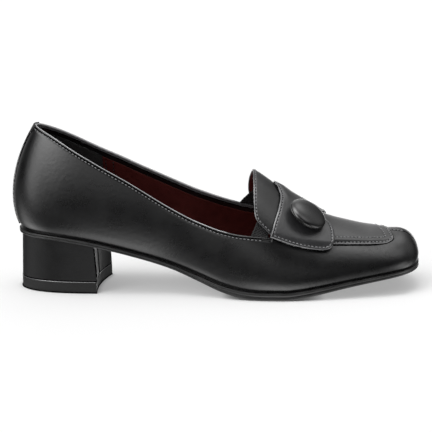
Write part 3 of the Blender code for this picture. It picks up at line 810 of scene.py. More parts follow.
@dataclass(frozen=True)
class Thread:
    """A row of lockstitches: short bent capsules that dip into the leather at both ends."""

    pitch: float = 0.00235
    length: float = 0.00165
    radius: float = 0.00028
    rise: float = 0.00016
    sink: float = 0.00040
    sides: int = 6
    rings: int = 7
    hole_length: float = 0.00085
    hole_radius: float = 0.00034
    hole_rise: float = 0.00006
    groove_radius: float = 0.00040
    groove_rise: float = 0.00010
    groove_overlap: float = 1.3
    reads: float = 8.0
    end_room: float = 0.6
    blunt: float = 0.15

    def holes(self) -> Thread:
        """The needle holes of the same row, as flat dark beads between the stitches: painted shade."""
        return Thread(pitch=self.pitch, length=self.hole_length, radius=self.hole_radius,
                      rise=self.hole_rise - self.hole_radius, sink=0.0)

    def groove(self) -> Thread:
        """Painted shade in the bottom of a seam or fold, as flat dark beads that meet end to end."""
        return Thread(pitch=self.pitch, length=self.groove_overlap * self.pitch, radius=self.groove_radius,
                      rise=self.groove_rise - self.groove_radius, sink=0.0)

    def row(self, path: Array, normal: Array, start: float = 0.5) -> tuple[Array, Array]:
        """Points and faces of one row.

        A stitch's middle line is path + tangent x + normal (rise - sink (2 x / length) squared).
        Its radius falls to a blunt end as the fourth root of 1 less (2 x / length) to the fourth.

        Args:
            path: array (m, 3) along the leather's surface.
            normal: array (m, 3) of the surface's normals.
            start: where the first stitch lies, as a share of the pitch.

        Returns:
            Points (n, 3) and faces (k, 4).
        """
        fine, lift = resample(path, self.pitch / self.reads, normal)
        run = np.concatenate(([0.0], np.cumsum(np.linalg.norm(np.diff(fine, axis=0), axis=1))))
        at = np.arange(start * self.pitch, run[-1] - self.end_room * self.length, self.pitch)
        t = np.linspace(-1.0, 1.0, self.rings)
        places = at[:, None] + 0.5 * self.length * t[None, :]
        centre = np.stack([np.interp(places, run, fine[:, k]) for k in range(3)], -1)
        up = unit(np.stack([np.interp(places, run, lift[:, k]) for k in range(3)], -1))
        along = unit(np.gradient(centre, axis=1))
        side = unit(np.cross(up, along))
        centre = centre + up * (self.rise - self.sink * t[None, :, None] ** 2)
        radius = self.radius * (1.0 - t ** 4) ** 0.25 + self.blunt * self.radius
        turn = turns(self.sides)
        ring = (np.cos(turn)[:, None] * side[..., None, :] + np.sin(turn)[:, None] * up[..., None, :])
        points = centre[..., None, :] + radius[None, :, None, None] * ring
        per = self.rings * self.sides
        k = np.arange(self.rings - 1)[:, None] * self.sides
        i = np.arange(self.sides)[None, :]
        j = (i + 1) % self.sides
        body = np.stack(np.broadcast_arrays(k + i, k + self.sides + i, k + self.sides + j, k + j), -1)
        caps = np.array(((0, 1, 2, 3), (0, 3, 4, 5)))
        one = np.concatenate((body.reshape(-1, 4), caps, caps[:, ::-1] + per - self.sides))
        faces = (one[None] + per * np.arange(len(at))[:, None, None]).reshape(-1, 4)
        return points.reshape(-1, 3), faces


def sew(name: str, rows: Sequence[tuple[Array, Array]]) -> bpy.types.Object:
    """One object from several rows of stitches or holes.

    Args:
        name: the piece's name.
        rows: points and faces of each row.

    Returns:
        The object, its faces turned outward.
    """
    base = np.cumsum([0] + [len(points) for points, _ in rows[:-1]])
    points = np.concatenate([points for points, _ in rows])
    faces = np.concatenate([faces + start for (_, faces), start in zip(rows, base)])
    piece = make_piece(name, points, faces, closed=False)
    turn_outward(piece.data, join=False)
    return piece


def stitch(name: str, paths: Sequence[tuple[Array, Array]], slot: str = "leather",
           finish: Finish | None = None) -> None:
    """Stitches along several paths, and the needle holes between them, drawn as painted shade.

    Args:
        name: the name of the thread's piece; the holes' piece adds to it.
        paths: points and normals of each path.
        slot: the record's material slot.
        finish: the thread's finish, if it isn't the usual one.
    """
    thread = Thread()
    dress(sew(name, [thread.row(*path) for path in paths]), finish or THREAD, slot)
    dress(sew(name + "_hole_shade", [thread.holes().row(*path, start=1.0) for path in paths]), HOLE_AND_GROOVE_SHADE, slot)


def score(name: str, paths: Sequence[tuple[Array, Array]], slot: str = "leather") -> None:
    """Lines of painted shade along several paths, where two edges meet or leather folds under.

    Args:
        name: the name of the lines' piece.
        paths: points and normals of each path.
        slot: the record's material slot.
    """
    line = Thread().groove()
    dress(sew(name, [line.row(*path) for path in paths]), HOLE_AND_GROOVE_SHADE, slot)


# Finishes


def linear(code: str) -> tuple[float, float, float, float]:
    """Linear colour of an sRGB hex value such as "#202020"."""
    channels = [int(code[i:i + 2], 16) / 255.0 for i in (1, 3, 5)]
    return tuple(c / 12.92 if c <= 0.04045 else ((c + 0.055) / 1.055) ** 2.4 for c in channels) + (1.0,)


def add_node(tree: bpy.types.NodeTree, kind: str, settings: dict[str | int, object] | None = None,
             links: dict[str | int, object] | None = None) -> bpy.types.Node:
    """A node with its settings and links.

    Args:
        tree: the node tree.
        kind: the node's type name.
        settings: attributes of the node by name, or values of its inputs by name or place.
        links: the output socket that feeds each input, by the input's name or place.

    Returns:
        The node.
    """
    node = tree.nodes.new(kind)
    for key, value in (settings or {}).items():
        if isinstance(key, str) and hasattr(node, key):
            setattr(node, key, value)
        else:
            node.inputs[key].default_value = value
    for key, socket in (links or {}).items():
        tree.links.new(socket, node.inputs[key])
    return node


@dataclass(frozen=True)
class Relief:
    """One layer of bump: a texture with its real pitch and depth, in metres."""

    kind: str
    pitch: float
    depth: float
    settings: tuple[tuple[str, object], ...] = ()
    output: str = "Distance"
    stretch: tuple[float, float, float] = (1.0, 1.0, 1.0)
    turn: float = 0.0
    on_piece: bool = False


PATCH_EDGES = (0.35, 0.65)


@dataclass(frozen=True)
class Finish:
    """A surface finish: two near colours, gloss that varies between two values, and bump."""

    name: str
    dark: str
    light: str
    gloss: tuple[float, float]
    patch: float
    reliefs: tuple[Relief, ...] = ()
    coat: float = 0.0
    coat_roughness: float = 0.3
    specular: float = 0.5
    sheen: float = 0.0

    def build(self) -> bpy.types.Material:
        """The material: colour and roughness follow soft patches, and the bumps are chained.

        Returns:
            A new material.
        """
        material = bpy.data.materials.new(self.name)
        material.use_nodes = True
        tree = material.node_tree
        shader = tree.nodes["Principled BSDF"]
        place = add_node(tree, "ShaderNodeTexCoord")
        patches = add_node(tree, "ShaderNodeTexNoise",
                           {"Scale": 1.0 / self.patch, "Detail": 4.0, "Roughness": 0.6},
                           {"Vector": place.outputs["Object"]})
        colours = add_node(tree, "ShaderNodeValToRGB", links={"Fac": patches.outputs["Fac"]})
        for element, edge, code in zip(colours.color_ramp.elements, PATCH_EDGES, (self.dark, self.light)):
            element.position = edge
            element.color = linear(code)
        rough = add_node(tree, "ShaderNodeMapRange",
                         dict(zip(("From Min", "From Max", "To Min", "To Max"), PATCH_EDGES + self.gloss)),
                         {"Value": patches.outputs["Fac"]})
        tree.links.new(colours.outputs["Color"], shader.inputs["Base Color"])
        tree.links.new(rough.outputs["Result"], shader.inputs["Roughness"])
        for socket, value in (("Specular IOR Level", self.specular), ("Coat Weight", self.coat),
                              ("Coat Roughness", self.coat_roughness), ("Sheen Weight", self.sheen)):
            shader.inputs[socket].default_value = value
        bump = None
        for layer in self.reliefs:
            turned = add_node(tree, "ShaderNodeMapping",
                              {"Scale": layer.stretch, "Rotation": (0.0, 0.0, layer.turn)},
                              {"Vector": place.outputs["UV" if layer.on_piece else "Object"]})
            texture = add_node(tree, layer.kind, {"Scale": 1.0 / layer.pitch, **dict(layer.settings)},
                               {"Vector": turned.outputs["Vector"]})
            links = {"Height": texture.outputs[layer.output]}
            if bump is not None:
                links["Normal"] = bump.outputs["Normal"]
            bump = add_node(tree, "ShaderNodeBump", {"Strength": 1.0, "Distance": layer.depth}, links)
        if bump is not None:
            tree.links.new(bump.outputs["Normal"], shader.inputs["Normal"])
        return material


def noise(pitch: float, depth: float, detail: float = 3.0,
          stretch: tuple[float, float, float] = (1.0, 1.0, 1.0)) -> Relief:
    """Bump from soft noise."""
    return Relief("ShaderNodeTexNoise", pitch, depth, (("Detail", detail),), "Fac", stretch)


# Full-grain calf, drum-dyed black and lightly finished: a soft, low grain that breaks up the
# highlights, drawn at two millimetres, a little coarser than real.
CALF = Finish("black_calf", "#070708", "#0c0c0d", (0.26, 0.32), 0.012,
              (noise(0.0022, 0.00008, 3.0),), coat=0.1, coat_roughness=0.25, specular=0.8)
# The same calf pulled tight over a metal shell: smoother and a little glossier.
CALF_TIGHT = Finish("black_calf_tight", "#09090a", "#0e0e0f", (0.18, 0.24), 0.008,
                    (noise(0.0016, 0.00003, 2.0),), coat=0.4, coat_roughness=0.16, specular=0.7)
# The strap is the same calf, drawn a dark grey rather than black: painted sheen on its face.
CALF_STRAP_SHEEN = Finish("black_calf_strap_painted_sheen", "#242425", "#2c2c2e", (0.34, 0.4), 0.012,
                    (noise(0.0022, 0.00010, 3.0),), coat=0.1, coat_roughness=0.3, specular=1.0)
# Bonded polyester thread, twisted and waxed. Its filaments glint, so the black is drawn as a grey.
THREAD = Finish("black_thread", "#747476", "#8c8c8e", (0.3, 0.4), 0.002,
                (noise(0.0004, 0.00004, 1.0, (3.0, 1.0, 1.0)),))
# Painted shade for needle holes and the bottoms of seams, grooves and edges: no light comes out of them.
HOLE_AND_GROOVE_SHADE = Finish("painted_shade_holes_and_grooves", "#020202", "#030303", (0.9, 1.0), 0.002, specular=0.0)
# Cut edges of calf, glossy, drawn as thin grey lines: a painted highlight along each edge.
CALF_EDGE_HIGHLIGHT = Finish("black_calf_edge_painted_highlight", "#444446", "#505052", (0.22, 0.28), 0.006,
                   (noise(0.0007, 0.00003, 2.0),), coat=1.0, coat_roughness=0.15, specular=1.0)
# The bead of the folded topline, polished and drawn light grey: a painted highlight, the brightest line on
# the shoe.
CALF_FOLD_HIGHLIGHT = Finish("black_calf_fold_painted_highlight", "#9a9a9c", "#aaaaac", (0.2, 0.26), 0.004,
                   (noise(0.0007, 0.00002, 2.0),), coat=1.0, coat_roughness=0.12, specular=1.0)
# The turned-over strip inside the topline: unwaxed calf, drawn grey, painted light where the strip turns up
# towards the light.
CALF_FACING_LIT = Finish("black_calf_facing_painted_light", "#505052", "#606062", (0.4, 0.5), 0.004,
                     (noise(0.0007, 0.00005, 2.0),), coat=0.3, coat_roughness=0.3)
# The saddle isn't pulled over the last, so its grain stays open: a broader, softer shine.
CALF_SADDLE = Finish("black_calf_saddle", "#0d0d0e", "#131314", (0.34, 0.4), 0.012,
                     (noise(0.0022, 0.00010, 3.0),), coat=0.1, coat_roughness=0.3, specular=0.9)
# Lining leather, dyed burgundy and unfinished: dull, with pores.
LINING = Finish("burgundy_lining", "#421614", "#4e1c19", (0.5, 0.62), 0.006,
                (Relief("ShaderNodeTexVoronoi", 0.0009, 0.00005), noise(0.003, 0.0001)), specular=0.2)
# Heel grip: napped black microfibre that swallows light.
GRIP = Finish("black_grip", "#0c0909", "#141010", (0.85, 0.95), 0.004,
              (noise(0.0005, 0.0001, 3.0),), sheen=0.2)
# Woven elastic: black rubber cords wrapped in yarn, a diamond net under two millimetres across.
# A wave repeats about three times in the pitch that its texture is given.
ELASTIC = Finish("black_elastic", "#0b0b0c", "#171718", (0.7, 0.8), 0.002,
                 tuple(Relief("ShaderNodeTexWave", 0.0055, 0.0002, (("Distortion", 0.3),), "Fac",
                              turn=turn, on_piece=True) for turn in (0.8, -0.8)))
# Sole edge and underside: resin rubber, inked black with a coat of wax at the edge, drawn a dark grey: a
# painted sheen for the floor's light along the edge.
SOLE_SHEEN = Finish("black_sole_painted_sheen", "#1e1e1e", "#2a2a2a", (0.36, 0.46), 0.006,
              (noise(0.0007, 0.00004),), coat=0.4, coat_roughness=0.3)
# Heel block in the same calf, stretched thin and glued down: duller, with its grain pulled out.
HEEL_CALF = Finish("black_heel_calf", "#0a0a0b", "#101011", (0.42, 0.5), 0.01,
                   (Relief("ShaderNodeTexVoronoi", 0.0012, 0.00004), noise(0.0007, 0.00004)),
                   specular=0.35)
# Top piece: moulded rubber, matt, faintly scuffed.
TOP_PIECE = Finish("black_top_piece", "#121212", "#1c1c1c", (0.6, 0.72), 0.005,
                   (noise(0.0005, 0.00005),))
MATERIALS: dict[str, bpy.types.Material] = {}


def coat_with(piece: bpy.types.Object, finish: Finish) -> None:
    """Add a finish to a piece's materials.

    Args:
        piece: the piece.
        finish: the finish, built once for all pieces that share it.
    """
    if finish.name not in MATERIALS:
        MATERIALS[finish.name] = finish.build()
    piece.data.materials.append(MATERIALS[finish.name])


def dress(piece: bpy.types.Object, finish: Finish, slot: str, *nodes: str) -> bpy.types.Object:
    """Give a piece its finish and tie it to the frame.

    Args:
        piece: the new piece.
        finish: its finish.
        slot: the record's material slot.
        nodes: the nodes that the piece stands for.

    Returns:
        The piece.
    """
    coat_with(piece, finish)
    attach(piece, "root")
    if nodes:
        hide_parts(*nodes)
    return piece


def paint_border_light(piece: bpy.types.Object, border: Array, reach: float, finish: Finish = CALF_EDGE_HIGHLIGHT,
            inner: bool = False) -> None:
    """Give the faces near a border a second finish, as a rule the painted highlight of a calf edge.

    Args:
        piece: a piece that has its finish.
        border: closely spaced points of the border.
        reach: how far from it the second finish goes, in metres.
        finish: the second finish.
        inner: whether it stays on the inner skin of a piece with two skins.
    """
    coat_with(piece, finish)
    count = len(piece.data.polygons)
    centres = np.empty(3 * count, np.float32)
    piece.data.polygons.foreach_get("center", centres)
    near = nearest(centres.reshape(-1, 3), border) < reach
    if inner:
        near &= np.arange(count) >= count // 2
    piece.data.polygons.foreach_set("material_index", near.astype(np.int32))
    piece.data.update()


# The upper and what lines it


TOE_SEAM = table("u w", (0.461, 0.920), (0.465, 0.875), (0.469, 0.830), (0.474, 0.780), (0.481, 0.725),
                 (0.485, 0.660), (0.487, 0.570), (0.492, 0.450), (0.4965, 0.320), (0.4995, 0.180),
                 (0.501, 0.050))


@dataclass
class Upper:
    """Vamp and quarters: one skin of calf with a folded, stitched topline and a turned-in feather edge."""

    ribs: tuple[int, ...] = (34, 70, 14, 26, 44, 56)
    rows: int = 46
    thickness: float = 0.00125
    bead: float = 0.00022
    bead_place: float = 0.0008
    bead_width: float = 0.0007
    bead_start: float = 0.0006
    stitch_drop: float = 0.0022
    trough: float = 0.00030
    trough_width: float = 0.00045
    feather_roll: float = 0.0011
    feather_reach: float = 0.0065
    feather_start: float = 0.0003
    back_end: float = 0.06
    toe_start: float = 0.44
    throat_lead: float = 0.03
    least_open: float = 0.02
    seam_depth: float = 0.00025
    seam_width: float = 0.0006
    seam_steps: int = 120
    seam_sewn: tuple[int, int] = (6, 60)
    seam_bare: int = 48
    seam_sink: float = 0.0001
    groove_drop: float = 0.00135
    groove_level: float = 0.7
    facing_reach: float = 0.0028
    facing_level: float = -1.1
    rim_step: float = 0.0004
    row_start: float = 0.006
    row_end: float = 0.628
    row_steps: int = 220
    fold_half: tuple[float, float] = (0.00072, 0.00064)
    fold_end: float = 0.640
    fold_steps: int = 500
    fold_sides: int = 12
    fold_taper: float = 12.0
    u: Array = field(init=False)
    edge: Array = field(init=False)

    def __post_init__(self) -> None:
        """Choose the ribs, closer together at the back, the throat and the toe."""
        start, end = LAST.ring_of_station(np.array(LAST.throat))
        places = (0.0, self.back_end, start - self.throat_lead, start, end, self.toe_start, 0.5)
        self.u = both_sides(spaced(places, self.ribs))
        self.edge = LAST.upper_edge(self.u)

    def seam_path(self) -> tuple[Array, Array]:
        """The toe seam, from under the apron to the sole.

        Returns:
            Points and normals.
        """
        t = np.linspace(0.0, 1.0, len(TOE_SEAM["u"]))
        at = np.linspace(0.0, 1.0, self.seam_steps)
        u, w = (spline(t, TOE_SEAM[key], at) for key in ("u", "w"))
        return LAST.points(u, w), LAST.normals(u, w)

    def shares(self) -> tuple[Array, Array]:
        """The grid's places on the ribs.

        Returns:
            Rib shares, and the distance of each point from the top edge, in metres.
        """
        u, edge = self.u, self.edge
        top = EDGE_ROWS[None, ::-1] / LAST.rib_speed(u, edge)[:, None]
        foot = FOOT_ROWS[None, :] / LAST.rib_speed(u, np.zeros_like(u))[:, None]
        middle = np.linspace(0.0, 1.0, self.rows + 1)[1:-1]
        low, high = foot[:, -1:], edge[:, None] - top[:, :1]
        w = np.concatenate((foot, low + (high - low) * middle[None, :], edge[:, None] - top), 1)
        below = (edge[:, None] - w) * LAST.rib_speed(u, edge)[:, None]
        return w, below

    def build(self) -> None:
        """The calf, its stitches, the painted shade lines in its seams and grooves, and the folded edge."""
        w, below = self.shares()
        u = self.u[:, None]
        normal = LAST.normals(u, w)
        open_share = 1.0 - smooth(LAST.closing(u))
        least = self.least_open
        free = np.where(open_share > least, below / np.maximum(open_share, least), 1.0)
        half = 0.5 * self.thickness
        surface = LAST.points(u, w)
        up = w * LAST.rib_speed(self.u, np.zeros_like(self.u))[:, None]
        seam, seam_normal = self.seam_path()
        relief = self.bead * bell(free - self.bead_place, self.bead_width) * smooth(free / self.bead_start)
        relief -= self.trough * bell(free - self.stitch_drop, self.trough_width)
        turned_in = np.clip(1.0 - up / self.feather_reach, 0.0, 1.0) ** 2
        relief -= self.feather_roll * turned_in * smooth(up / self.feather_start)
        relief -= self.seam_depth * bell(nearest(surface, seam), self.seam_width)
        thick = np.minimum(rounded(free, half), rounded(up, half))
        piece = two_skins("upper_calf", surface - normal * half, normal, thick, relief, closed_ring=True)
        dress(piece, CALF, "leather", "upper")
        rim, _ = LAST.layer(self.u, self.edge, -self.thickness)
        rim, = resample(np.concatenate((rim, rim[:1])), self.rim_step)
        # Painted light: the inner strip below the top edge takes a grey finish.
        paint_border_light(piece, rim, self.facing_reach, CALF_FACING_LIT, inner=True)
        sewn, bare = slice(*self.seam_sewn), slice(self.seam_bare, None)
        rows = [self.topline_row(side, self.stitch_drop, 0.0) for side in Side]
        stitch("upper_thread", rows + [(seam[sewn], seam_normal[sewn])])
        # Painted shade: dark lines in the groove under the fold, along the inner border of the grey strip,
        # and in the toe seam's bare stretch.
        lines = [self.topline_row(side, drop, level)
                 for drop, level in ((self.groove_drop, self.groove_level * self.bead),
                                     (self.facing_reach, self.facing_level * self.thickness))
                 for side in Side]
        lines.append((seam[bare] - self.seam_sink * seam_normal[bare], seam_normal[bare]))
        score("upper_groove_shade", lines)
        self.fold()

    def fold(self) -> None:
        """The folded edge of the topline, from one gore round the back to the other, drawn light grey as a
        painted highlight.

        Its section is an ellipse, centred in the wall just below the top edge, whose long half is
        across the wall; both halves shrink to nothing at the two ends, under the gores.
        """
        end = float(LAST.ring_of_station(self.fold_end))
        u = np.linspace(-end, end, self.fold_steps)
        across, up = self.fold_half
        centre, normal = LAST.layer(u, LAST.below_edge(u, up), -0.5 * self.thickness)
        rise = unit(np.cross(normal, np.gradient(centre, axis=0)))
        taper = np.minimum(1.0, self.fold_taper * steps_to_end(self.fold_steps) / self.fold_steps) ** 0.5
        turn = turns(self.fold_sides)[None, :, None]
        ring = across * np.cos(turn) * normal[:, None] + up * np.sin(turn) * rise[:, None]
        points = centre[:, None] + taper[:, None, None] * ring
        points = np.concatenate((points, points[:, :1]), axis=1)
        piece = make_piece("topline_fold_calf", points, quads(*points.shape[:2]), smooth_angle=80.0)
        dress(piece, CALF_FOLD_HIGHLIGHT, "leather")

    def topline_row(self, side: Side, drop: float, level: float) -> tuple[Array, Array]:
        """A path along one side's topline.

        Args:
            side: the side of the shoe.
            drop: how far it runs below the top edge, in metres.
            level: its height over the upper's outer face; below 0 it lies inside and faces inward.

        Returns:
            Points and normals. At the drop of the stitches they lie in the trough.
        """
        u = np.linspace(self.row_start, float(LAST.ring_of_station(self.row_end)), self.row_steps)
        if side is Side.MEDIAL:
            u = 1.0 - u
        sunk = self.trough if drop == self.stitch_drop else 0.0
        points, normal = LAST.layer(u, LAST.below_edge(u, drop), level - sunk)
        return points, normal if level >= 0.0 else -normal


@dataclass
class Inside:
    """What lines the upper: burgundy leather, and a grip of black nap round the heel."""

    lining_top: float = 0.0058
    lining_face: float = 0.0013
    lining_thickness: float = 0.0005
    grip_top: float = 0.0050
    grip_front: float = 0.110
    grip_thickness: float = 0.0004
    grip_gap: float = 0.00005
    grip_steps: int = 60
    seams: tuple[float, float] = (0.0035, 0.0120)
    seam_foot: float = 0.06
    seam_steps: int = 60
    foot_share: float = 0.012
    height: float = 0.06
    border_rows: int = 5
    rows: int = 34

    def sheet(self, name: str, u: Array, drop: float, offset: float, thickness: float,
              ring: bool) -> bpy.types.Object:
        """A lining from the feather line to a drop below the topline.

        Args:
            name: the piece's name.
            u: ring positions of its columns.
            drop: how far below the topline it ends, in metres; it closes over the ridge.
            offset: depth of its outer face below the last's surface.
            thickness: its thickness.
            ring: whether it runs all the way round.

        Returns:
            The piece.
        """
        edge = LAST.upper_edge(u)
        free = 1.0 - smooth(LAST.closing(u))
        speed = LAST.rib_speed(u, edge)
        top = edge - drop * free / speed
        shares = crowded(self.rows, EDGE_ROWS[:self.border_rows], self.height)
        w = self.foot_share + (top[:, None] - self.foot_share) * shares[None, :]
        half = 0.5 * thickness
        middle, normal = LAST.layer(u[:, None], w, -(offset + half))
        over = np.where(free[:, None] > 0.0, (top[:, None] - w) * speed[:, None], 1.0)
        gap = np.minimum((w - w[:, :1]) * speed[:, None], over)
        if not ring:
            gap = np.where(steps_to_end(len(u))[:, None] == 0, 0.0, gap)
        return two_skins(name, middle, normal, rounded(gap, half), np.zeros_like(gap), closed_ring=ring)

    def build(self, upper: Upper) -> None:
        """The lining, the grip, and two rows of stitches at each seam between them.

        Args:
            upper: the upper, whose ribs the lining follows.
        """
        inner = self.lining_face + self.lining_thickness
        dress(self.sheet("burgundy_lining", upper.u, self.lining_top, self.lining_face,
                         self.lining_thickness, True), LINING, "lining")
        half = np.linspace(0.0, self.grip_front, self.grip_steps)
        dress(self.sheet("heel_grip", np.concatenate((-half[:0:-1], half)), self.grip_top,
                         inner + self.grip_gap, self.grip_thickness, False), GRIP, "lining")
        rows = []
        for sign in (-1.0, 1.0):
            for step in self.seams:
                u = np.full(self.seam_steps, sign * (self.grip_front + step))
                w = np.linspace(self.seam_foot, 1.0, self.seam_steps) * LAST.below_edge(u, self.lining_top)
                points, normal = LAST.layer(u, w, -inner)
                rows.append((points, -normal))
        stitch("lining_thread", rows, "lining", GRIP)


# The saddle: apron with tongue, and strap


APRON_EDGE = table("s w", (0.59, 0.440), (0.632, 0.445), (0.700, 0.468), (0.760, 0.492),
                   (0.786, 0.510), (0.827, 0.530), (0.887, 0.562), (0.918, 0.582), (0.932, 0.600))
APRON_ENDS = table("b rear front", (0.00, 0.631, 0.917), (0.05, 0.617, 0.929), (0.10, 0.603, 0.932),
                   (0.16, 0.596, 0.932), (0.27, 0.593, 0.931), (0.50, 0.591, 0.928),
                   (1.00, 0.588, 0.921))
STRAP_EDGE = table("s w", (0.634, 0.418), (0.682, 0.414), (0.722, 0.408), (0.785, 0.407))
STRAP_ENDS = table("b rear front", (0.00, 0.631, 0.757), (0.03, 0.632, 0.772), (0.10, 0.635, 0.781),
                   (0.22, 0.640, 0.785), (0.42, 0.647, 0.783), (0.67, 0.651, 0.770),
                   (0.88, 0.643, 0.751), (1.00, 0.634, 0.743))


@dataclass
class SaddlePiece:
    """A sheet of calf over the ridge, from the outer edge to the inner one, with stitched borders."""

    name: str
    edge: Table
    ends: Table
    thickness: float
    lift: Callable[[Array, Array], Array]
    steps: tuple[int, int]
    lengths: tuple[float, float]
    skive: tuple[float, float, float] = (0.0, 0.9, 1.0)
    side_skive: tuple[float, float, float] = (0.0, 0.12, 0.76)
    side_lead: float = 0.03
    end_skive: tuple[float, float] = (0.0, 0.0)
    rear_skived: float = 0.15
    front_skived: tuple[float, float] = (0.8, 0.2)
    ridge_skived: tuple[float, float] = (0.55, 0.2)
    skew: float = 0.018
    skew_spread: float = 1.3
    stitch_in: float = 0.0016
    trough: float = 0.00022
    trough_width: float = 0.00042
    crown: float = 0.0002
    crown_reach: float = 0.006
    crown_start: float = 0.0006
    crossing: float = 0.97
    # Reach of the painted highlight along the edges.
    edge_light_reach: float = 0.00095
    finish: Finish = CALF_SADDLE
    middle: Array = field(init=False)
    normal: Array = field(init=False)
    stations: Array = field(init=False)
    distance: Array = field(init=False)
    half: Array = field(init=False)
    crease: Array | float = field(init=False, default=0.0)

    def __post_init__(self) -> None:
        """Work out the middle surface and each point's distance from the border.

        The sheet is pared by the share skive[0] between the stations skive[1] and skive[2], by
        side_skive[0] over the share side_skive[1] of the way to the ridge from the station
        side_skive[2] on, and by the shares end_skive at its rear and front ends over the ridge.
        """
        along, across = sheet_shares(self.steps, self.lengths, len(EDGE_ROWS))
        s, w, u = self.places(along, across)
        self.normal = LAST.normals(u, w)
        share, start, end = self.skive
        self.half = 0.5 * self.thickness * (1.0 - share * ramp(s, start, end - start))
        ridge = 1.0 - np.abs(2.0 * across - 1.0)
        share, reach, start = self.side_skive
        sides = share * (1.0 - smooth(ridge / reach))
        self.half *= 1.0 - sides[None, :] * ramp(s, start, self.side_lead)
        ends = self.end_skive[0] * (1.0 - smooth(along / self.rear_skived))
        ends += self.end_skive[1] * ramp(along, *self.front_skived)
        self.half *= 1.0 - ends[:, None] * ramp(ridge, *self.ridge_skived)[None, :]
        offset = self.lift(s, w) + self.half
        self.middle = LAST.points(u, w) + offset[..., None] * self.normal
        self.stations = s
        self.distance = border_distance(self.middle, BORDER_STEP)

    def places(self, along: Array, across: Array) -> tuple[Array, Array, Array]:
        """Stations, rib shares and ring positions of a grid.

        Args:
            along: shares from the rear end to the front.
            across: shares from the lateral edge over the ridge to the medial edge.

        Returns:
            Three grids.
        """
        b = 1.0 - np.abs(2.0 * across - 1.0)
        medial = across > 0.5
        rear = steady(self.ends, "rear", b, level_end=True)
        front = steady(self.ends, "front", b, level_end=True)
        skew = np.where(medial, self.skew * smooth(self.skew_spread * (1.0 - b)), 0.0)
        s = rear[None, :] + along[:, None] * (front - rear)[None, :] - skew[None, :]
        base = steady(self.edge, "w", s)
        w = base + (1.0 - base) * b[None, :]
        u = np.empty_like(s)
        u[:, ~medial] = LAST.ring_at(s[:, ~medial], w[:, ~medial], False)
        u[:, medial] = LAST.ring_at(s[:, medial], w[:, medial], True)
        return s, w, u

    def relief(self) -> Array:
        """What the outer skin rises and sinks: a low crown, a trough along the stitches, a crease.

        Returns:
            A grid of heights, in metres.
        """
        d = self.distance
        rise = self.crown * smooth(d / self.crown_reach) * smooth(d / self.crown_start)
        return rise - self.trough * bell(d - self.stitch_in, self.trough_width) - self.crease

    def outer(self) -> Array:
        """The outer skin's points."""
        return self.middle + self.normal * (rounded(self.distance, self.half) + self.relief())[..., None]

    def inset(self, depth: float) -> tuple[Array, Array]:
        """A path on the outer skin that runs at one distance inside the border.

        Each border point moves inward, across the border's direction, and drops to the plane of the
        nearest point of the skin. Where two stretches would cross, the points that come too close
        to the border are left out.

        Args:
            depth: the distance, in metres.

        Returns:
            Points and normals.
        """
        border, normal = resample(border_of(self.middle), BORDER_STEP, border_of(self.normal))
        inward = np.cross(normal, unit(np.gradient(border, axis=0)))
        column = self.middle[:, self.middle.shape[1] // 8]
        first = np.argmin(np.linalg.norm(border - column[0], axis=1))
        if np.dot(inward[first], column[len(column) // 2] - column[0]) < 0.0:
            inward = -inward
        moved = border + depth * inward
        moved = moved[nearest(moved, border) > self.crossing * depth]
        skin = self.outer().reshape(-1, 3)
        tilt = self.normal.reshape(-1, 3)
        index = np.array([np.argmin(np.sum((skin - point) ** 2, axis=1)) for point in moved])
        height = np.sum((skin[index] - moved) * tilt[index], axis=1)
        return moved + height[:, None] * tilt[index], tilt[index]

    def build(self, *nodes: str) -> None:
        """The sheet with its round edges and relief, its edges given a painted highlight.

        Args:
            nodes: the nodes that it stands for.
        """
        half = rounded(self.distance, self.half)
        piece = two_skins(self.name, self.middle, self.normal, half, self.relief())
        dress(piece, self.finish, "leather", *nodes)
        # Painted highlight: the faces near the border take the grey edge finish.
        paint_border_light(piece, resample(border_of(self.middle), BORDER_STEP)[0], self.edge_light_reach)


